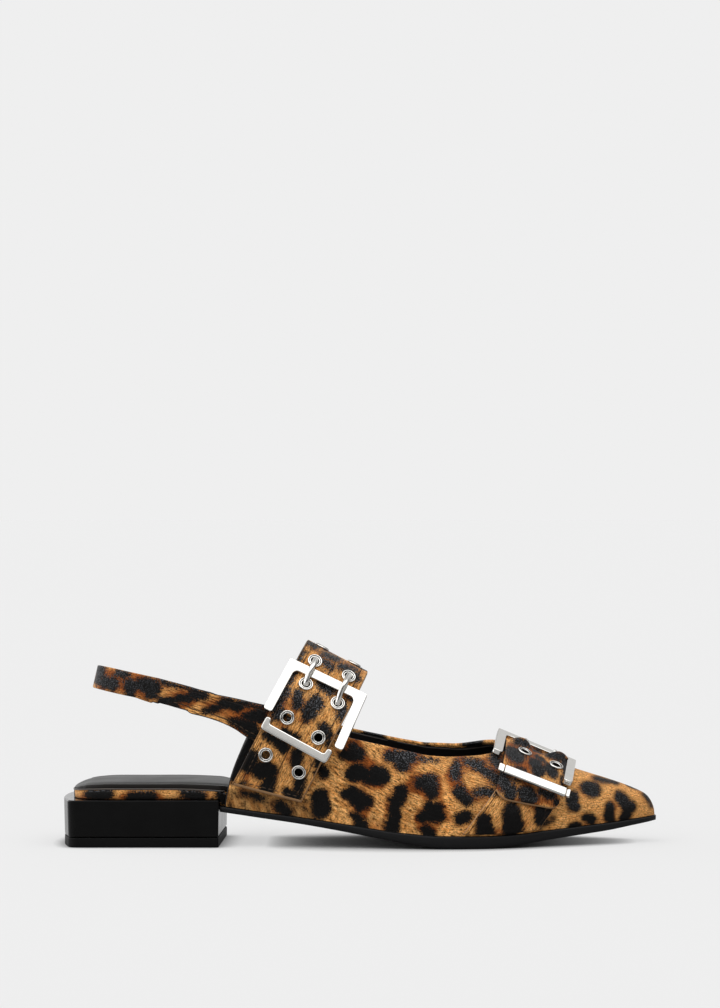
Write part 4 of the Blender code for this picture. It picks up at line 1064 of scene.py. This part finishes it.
def framePlate(size, top):  # three sides, open below
    bar = barSizes
    half, inside, under = size["width"] / 2, size["width"] / 2 - bar["wide"], top - bar["wide"]
    tipBack, tipFront = (top - tip for tip in size["tips"])
    topOut, tipOut = size["splay"]
    tip = bar["tipRound"]
    plate = plateMesh([
        (-half, tipBack, tip), (-half, top, bar["topRound"]), (half + topOut, top, bar["topRound"]),
        (half + tipOut, tipFront, tip), (inside + tipOut, tipFront, tip), (inside + topOut, under, bar["insideRound"]),
        (-inside, under, bar["insideRound"]), (-inside, tipBack, tip)], bar["thick"], bar["soft"])
    turn = Matrix.Translation((size["slide"], 0, 0)) @ Matrix.Rotation(math.radians(size["turn"]), 4, "Z")
    bmesh.ops.transform(plate, matrix=turn, verts=plate.verts)
    return plate


def lowBarPlate(size, bottom):  # ears turned up towards the side bars, or else a roller with a cap on each end
    bar = barSizes
    half, deep, middle = size["width"] / 2, bottom + size["lowWide"], bottom + size["lowWide"] / 2
    back, front = -half + size["lowEnds"][0], half - size["lowEnds"][1]
    parts = []
    if max(size["ears"]):
        ear, tip, foot, low = bar["ear"], bar["earRound"], bar["earFoot"], bar["lowRound"]
        earBack, earFront = (deep + rise for rise in size["ears"])
        corners = [(back, earBack, tip), (back, bottom, low), (front, bottom, low), (front, earFront, tip),
                   (front - ear, earFront, tip), (front - ear, deep, foot), (back + ear, deep, foot),
                   (back + ear, earBack, tip)]
    else:
        inBack, inFront = back + size["caps"][0], front - size["caps"][1]
        bend = bar["rollerRound"]
        corners = [(inBack, deep, bend), (inBack, bottom, bend), (inFront, bottom, bend), (inFront, deep, bend)]
        ends = (back, inBack - bar["capGap"]), (inFront + bar["capGap"], front)
        high, low = deep - bar["capInset"], bottom + bar["capInset"]
        first, second = bar["capRounds"]
        for (a, b), lean in zip(ends, bar["capLean"]):
            cap = plateMesh([(a, high, first), (a, low, first), (b, low, second), (b, high, second)],
                            size["lowThick"] * bar["capThin"], bar["soft"])
            bmesh.ops.rotate(cap, cent=((a + b) / 2, middle, 0), verts=cap.verts,
                             matrix=Matrix.Rotation(math.radians(lean), 3, "Y"))
            parts.append(cap)
    lowBar = joinMeshes(parts + [plateMesh(corners, size["lowThick"], bar["lowSoft"])])
    turn = Matrix.Rotation(math.radians(size["lowTurn"]), 4, "Z") @ Matrix.Rotation(math.radians(size["roll"]), 4, "X")
    seat = Matrix.Translation((0, middle, -bar["drop"])) @ turn @ Matrix.Translation((0, -middle, 0))
    bmesh.ops.transform(lowBar, matrix=seat, verts=lowBar.verts)
    return lowBar


def buildBuckle(name, node, band, strap, size, prongs):
    bar = barSizes
    low, lowOut = band.seatAt(0.0, size["low"])
    high, highOut = band.seatAt(0.0, strap["bar"])
    low = low + lowOut * (strap["wall"] + size["standLow"] + bar["drop"])
    high = high + highOut * (strap["wall"] + size["standHigh"] + bar["thick"] / 2)
    middle = (size["low"] + strap["bar"]) / 2
    across = band.seatAt(band.width / 2, middle)[0] - band.seatAt(-band.width / 2, middle)[0]
    along = unit(high - low)
    across = unit(across - along * (across @ along))
    out = np.cross(across, along)
    centre = (low + high) / 2 + across * size["aside"]
    seat = Matrix.Translation(centre) @ Matrix(np.stack((across, along, out), 1).tolist()).to_4x4()
    top = np.linalg.norm(high - low) / 2 + bar["wide"] / 2
    whole = joinMeshes([framePlate(size, top), lowBarPlate(size, -top)])
    bmesh.ops.transform(whole, matrix=seat, verts=whole.verts)
    flatFaces(addPiece(name, whole, (buckleMetal,), "buckle_metal", node))
    shoulder = along * (bar["wide"] / 2 + bar["shoulder"])
    sink, rise = bar["prongSink"], bar["prongRise"]
    for i, ((start, startOut), (stop, stopOut)) in enumerate(prongs, 1):
        over = start + (stop - start) * (((high - start) @ along) / ((stop - start) @ along))
        over = over + out * ((high - over) @ out + bar["thick"] / 2 + size["prongOver"])
        path = smoothPath([start - startOut * sink, start + startOut * rise, over - shoulder, over + shoulder,
                           stop + stopOut * rise, stop - stopOut * sink], 8)
        bm = rodMesh(path, out, size["prong"], 16)
        addPiece(f"{name}Prong{i}", bm, (buckleMetal,), "buckle_metal", node.replace("buckle", f"prong_{i}"))


instepProngs = list(zip(instepSeats[4:6], instepSeats[6:8]))
buildBuckle("instepFrame", "instep_buckle", instepBand, instepSizes, instepBuckle, instepProngs)
toeRise = dict(toeSizes, wall=toeSizes["wall"] + toeBuckle["prong"] + 0.4)  # the toe prongs start on the strap
toeProngs = list(zip(eyeletSeats(toeBand, toeRise, dict(start=(1.0, 0.0, 0.0))), toeSeats[2:4]))
buildBuckle("toeFrame", "toe_buckle", toeBand, toeSizes, toeBuckle, toeProngs)
print("buckles ready")


# sole and heel

soleSizes = dict(edge=0.8, breast=72.9, skew=0.03, tread=(181.0, 192.0), toeReach=0.6, toeRun=(240, 32))
soleBottom = Curves("x z", [
    (71, 16.4), (86, 14.0), (109, 10.7), (127, 7.7), (140, 5.3), (150, 3.5), (160, 1.8), (168, 0.8), (175, 0.2),
    (181, 0.0), (192, 0.0), (200, 0.4), (210, 1.5), (220, 2.9), (231, 4.2), (240, 5.2), (250, 6.4), (260, 8.1),
    (273, 10.2)])
heelSizes = dict(half=28.0, top=21.4, corner=3.5, bow=3.9, apex=2.0, draft=0.25, tip=4.4, tipInset=0.12)


def skewed(x, y):
    return x + soleSizes["skew"] * y * ease(1.2 - abs(x - soleSizes["breast"]) / 10)


def crossLoop(lateral, medial, half, middle=()):  # half runs in from each edge, middle lies between
    return [(lateral + a, z) for a, z in half] + list(middle) + [(medial - a, z) for a, z in reversed(half)]


def soleLoop(x):
    top, bottom = last.at(x).feather - shoe["gap"], soleBottom.at(x).z
    reach = x + soleSizes["toeReach"] * ramp(x, *soleSizes["toeRun"])
    lateral, medial = featherY(x, -1) - soleSizes["edge"], featherY(x, 1) + soleSizes["edge"]
    inset = min(2.0, (medial - lateral) * 0.2)
    half = [(0.35, top), (0.05, top - 0.2), (-0.1, top - 0.7), (0.1, blend(top, bottom, 0.6)), (0.3, bottom + 0.7),
            (0.6, bottom + 0.3), (inset * 0.6, bottom + 0.06), (inset, bottom)]
    floor = [(medial - inset) * s + (lateral + inset) * (1 - s) for s in (0.25, 0.5, 0.75)]
    loop = crossLoop(lateral, medial, half, [(y, bottom) for y in floor])
    return [(float(skewed(reach, y)), float(y), float(z)) for y, z in loop]


def buildSole():
    reaches = np.linspace(float(behindToe(soleSizes["breast"] + 0.3)), 0.35, 150)
    places = sorted(set(shoe["length"] - reaches ** 2) | set(soleSizes["tread"]))
    addPiece("outsoleBlack", skinMesh([soleLoop(x) for x in places]), (soleRubber,), "sole_rubber", "outsole")


def heelPlate(inset, low, high, soft):
    size = heelSizes
    half, breast = size["half"] - inset, soleSizes["breast"] - inset * 0.4
    lean = soleSizes["skew"] * size["half"]
    corners = [(breast - lean, -half, 1.0), (breast + lean, half, 1.0), (size["bow"] + inset, half, size["corner"]),
               (inset - size["apex"], 0.0, 16.0), (size["bow"] + inset, -half, size["corner"])]
    bm = plateMesh(corners, high - low, soft, 10)
    bmesh.ops.translate(bm, vec=(0, 0, (low + high) / 2), verts=bm.verts)
    return bm


def buildHeel():
    size = heelSizes
    bm = heelPlate(0.0, size["tip"] + 0.25, size["top"], 0.7)
    foot = [vert for vert in bm.verts if vert.co.z < (size["tip"] + size["top"]) / 2]
    shrink = 1 - size["draft"] / size["half"]
    centre = Matrix.Translation((-soleSizes["breast"] * 0.6, 0, 0))
    bmesh.ops.scale(bm, vec=(shrink, shrink, 1.0), space=centre, verts=foot)
    flatFaces(addPiece("heelBlock", bm, (heelLacquer,), "heel_lacquer", "heel"))
    bm = heelPlate(size["draft"] + size["tipInset"], 0.0, size["tip"] - 0.05, 0.5)
    flatFaces(addPiece("heelTip", bm, (tipRubber,), "sole_rubber", "heel_tip"))


buildSole()
buildHeel()
print("sole and heel ready")


# insole: printed rand round the board, black sock with a rolled edge

insoleSizes = dict(back=4.6, half=26.4, reach=25.0, square=2.9, toe=262.0, toeRun=(235, 30), inset=0.5,
                   piping=0.34, pipingEnd=76.0)
footbed = Curves("x board sock", [
    (4, 24.6, 0.9), (8, 25.3, 1.5), (14, 25.9, 2.0), (24, 26.2, 2.15), (38, 26.2, 2.15), (50, 26.2, 2.2),
    (70, 25.5, 2.3), (84, 23.4, 2.3), (100, 19.9, 2.2), (120, 15.5, 2.0), (140, 11.8, 1.8), (160, 9.2, 1.6),
    (180, 8.4, 1.5), (204, 8.7, 1.5), (230, 10.7, 1.4), (262, 13.6, 1.2)])
randSpots = [(91, 794, 6.5, 107, 794, 6.5), (130, 799, 5.5, 152, 797, 6), (184, 792, 4.5, 201, 797, 6),
             # the last stroke darkens the bottom of the rand, partly print and partly painted shade where it turns
             # under
             (221, 795, 6, 223, 800, 6), (76, 802, 2, 228, 802, 2)]


def boardHalf(x, side):
    size = insoleSizes
    behind = max(0.0, 1 - (x - size["back"]) / size["reach"])
    roundBack = size["half"] * max(0.0, 1 - behind ** size["square"]) ** (1 / size["square"])
    inside = abs(featherY(max(x, upperSizes["quarterBack"]), side)) - upperSizes["wall"] - shoe["gap"] - 0.5
    return blend(roundBack, min(roundBack, inside), ease((x - soleSizes["breast"] + 2) / 5))


def boardEnds(x):
    toward = ramp(x, *insoleSizes["toeRun"])
    lateral, medial = -boardHalf(x, -1), boardHalf(x, 1)
    if toward > 0:
        centre = (featherY(x, 1) + featherY(x, -1)) / 2 * toward
        half = (featherY(x, 1) - featherY(x, -1)) / 2 - upperSizes["wall"] - shoe["gap"] - 1.0
        lateral, medial = blend(lateral, centre - half, toward), blend(medial, centre + half, toward)
    return lateral, medial


def boardPlaces():
    size = insoleSizes
    back = [size["back"] + size["reach"] * (1 - math.cos(a)) for a in np.linspace(0.06, math.pi / 2, 26)]
    step = [72.4, 73.2, 73.5, 74.5, 77.0, 80.0]  # close together where the board steps off the heel
    return back + list(np.linspace(31, 71, 22)) + step + list(np.linspace(84, size["toe"], 50))


def boardLoop(x):
    lateral, medial = boardEnds(x)
    bottom = heelSizes["top"] + shoe["gap"] if x <= soleSizes["breast"] + 0.31 else last.at(x).feather
    top = footbed.at(x).board
    edge = min(0.8, (medial - lateral) * 0.1)
    half = [(0.15, bottom), (0.0, bottom + 0.3), (-0.1, blend(bottom, top, 0.35)), (-0.1, blend(bottom, top, 0.7)),
            (0.05, top - 0.5), (0.3, top - 0.12), (edge, top)]
    return [(float(skewed(x, y)), float(y), float(z)) for y, z in crossLoop(lateral, medial, half)]


def sockLoop(x):
    lateral, medial = boardEnds(x)
    row = footbed.at(x)
    low, high = row.board + shoe["gap"], row.board + shoe["gap"] + row.sock
    wide = medial - lateral
    inset, part = min(insoleSizes["inset"], wide * 0.1), min(1.0, wide * 0.06)
    # a soft edge, then a fine groove beside it
    half = [(0.4, 0.0), (0.05, 0.08), (0.0, 0.25), (0.0, 0.7), (0.05, 0.9), (0.2, 0.98), (0.5, 1.0),
            (2.0, 1.0), (2.3, 0.87), (2.6, 1.0)]
    half = [(inset + a * part, blend(low, high, s)) for a, s in half]
    loop = crossLoop(lateral, medial, half, [(blend(lateral, medial, s), high) for s in (0.3, 0.5, 0.7)])
    return [(float(x + 0.5 * (x < 10)), float(y), float(z)) for y, z in loop]


def buildInsole():
    places = boardPlaces()

    def hair(u, v):
        return np.stack((v * 260, u * 30), -1)

    bm = skinMesh([boardLoop(x) for x in places], hair=hair)
    addHide("randBoard", bm, "insole_board", randSpots, 13, big=4.5)
    loops = [sockLoop(x) for x in places if x < insoleSizes["toe"] - 1]

    def shadedSidePaint(u, v):  # painted shade: the turned edge is painted darker and less glossy than the top
        return np.minimum(u, 1 - u) * len(loops[0]) < 6

    addPiece("insoleSock", skinMesh(loops, shadedSidePaint), (sockLeather, edgePaintAndShade), "sock_leather", "insole_sock")
    radius = insoleSizes["piping"]
    heelPlaces = [x for x in places if x < insoleSizes["pipingEnd"]]
    path = [(x, boardEnds(x)[1] - 0.25, footbed.at(x).board + radius * 0.6) for x in reversed(heelPlaces)]
    path += [(x, boardEnds(x)[0] + 0.25, footbed.at(x).board + radius * 0.6) for x in heelPlaces]
    # the piping's grey is a painted highlight on black piping
    addPiece("sockPiping", rodMesh(path, (0.0, 0.0, 1.0), radius, 8), (paintedRimHighlight,), None)


buildInsole()
print("insole ready")


# stage, light and camera

stageLook = dict(floor=0.20, glow=0.588, spill=0.4, heelShade=0.006, waistShade=0.02, toeShade=0.0085, falloff=1.6,
                 seen=0.863, dome=0.72, front=0.05, box=1.15, sun=0.5)


def buildStage():
    look = stageLook
    material, tree, shader = newMaterial("paleFloor", Roughness=0.9, Specular_IOR_Level=0.0)
    shader.inputs["Base Color"].default_value = (*[look["floor"]] * 3, 1)
    shader.inputs["Emission Color"].default_value = (1, 1, 1, 1)
    camera = addNode(tree, "LightPath").outputs["Is Camera Ray"]
    along = addNode(tree, "SeparateXYZ", {0: addNode(tree, "TexCoord").outputs["Object"]}).outputs[0]
    # painted shadow: the floor glows, and its glow is darkened by ambient occlusion, deep under the waist, close in at
    # the heel and short at the toe
    fromHeel = mapRange(tree, along, -0.07, -0.015, look["heelShade"], look["waistShade"], False)
    toToe = mapRange(tree, along, -0.01, 0.085, look["waistShade"], look["toeShade"])
    bare = addNode(tree, "AmbientOcclusion", {"Distance": calc(tree, "MINIMUM", fromHeel, toToe)}, samples=8)
    shown = mapRange(tree, camera, 0.0, 1.0, look["spill"] * look["glow"], look["glow"], False)
    glow = times(tree, shown, calc(tree, "POWER", bare.outputs["AO"], look["falloff"]))
    wire(tree, shader, Emission_Strength=glow)
    bm = bmesh.new()
    bmesh.ops.create_grid(bm, x_segments=8, y_segments=8, size=30.0)
    addObject("paleFloor", bm, [material])


def buildLight():  # bright overhead, pale all round, dark low in front so that polished faces read
    world = bpy.data.worlds.new("softStudio")
    scene.world = world
    world.use_nodes = True
    tree = world.node_tree
    shine = tree.nodes["Background"]
    ray = addNode(tree, "TexCoord").outputs["Generated"]
    right, back, up = addNode(tree, "SeparateXYZ", {0: ray}).outputs
    toward = times(tree, back, -1.0)

    def patch(light, first, second, amount):  # scales the light where both hold
        return times(tree, light, mapRange(tree, times(tree, first, second), 0.0, 1.0, 1.0, amount, False))

    dark = times(tree, mapRange(tree, toward, 0.5, 0.85), mapRange(tree, up, 0.2, 0.42, 1.0, 0.0))
    light = mapRange(tree, dark, 0.0, 1.0, stageLook["dome"], stageLook["front"], False)
    box = times(tree, mapRange(tree, up, 0.38, 0.6), mapRange(tree, toward, -0.45, 0.1))
    light = plus(tree, light, times(tree, box, stageLook["box"]))
    light = patch(light, mapRange(tree, right, 0.45, 0.8), mapRange(tree, up, 0.35, 0.65, 1.0, 0.0), 0.25)
    light = patch(light, mapRange(tree, right, -0.25, -0.7), mapRange(tree, up, 0.3, 0.6, 1.0, 0.0), 3.0)
    between = mapRange(tree, calc(tree, "ABSOLUTE", right), 0.06, 0.14, 1.0, 0.0)  # seam of two overhead boxes
    light = patch(light, between, mapRange(tree, up, 0.3, 0.45), 0.4)
    camera = addNode(tree, "LightPath").outputs["Is Camera Ray"]
    amount = addNode(tree, "Mix", {0: camera, 2: light, 3: stageLook["seen"]}, data_type="FLOAT").outputs[0]
    tree.links.new(amount, shine.inputs["Strength"])
    shine.inputs["Color"].default_value = (1, 1, 1, 1)
    key = bpy.data.lights.new("softBox", "SUN")
    key.angle, key.energy = math.radians(50), stageLook["sun"]
    lamp = bpy.data.objects.new("softBox", key)
    lamp.location = (0.1, -0.6, 1.2)
    lamp.rotation_euler = (-lamp.location).to_track_quat("-Z", "Y").to_euler()
    scene.collection.objects.link(lamp)


def buildCamera():
    data = bpy.data.cameras.new("photoCamera")
    data.sensor_width, data.lens = 36.0, 36.0 * photo["focal"] / photo["high"]
    data.clip_end = 100.0
    camera = bpy.data.objects.new("photoCamera", data)
    camera.location = (0.0, -photo["away"] * 0.001, photo["height"] * 0.001)
    camera.rotation_euler = (math.radians(90), 0.0, 0.0)
    scene.collection.objects.link(camera)
    scene.camera = camera


buildStage()
buildLight()
buildCamera()
print("stage ready")
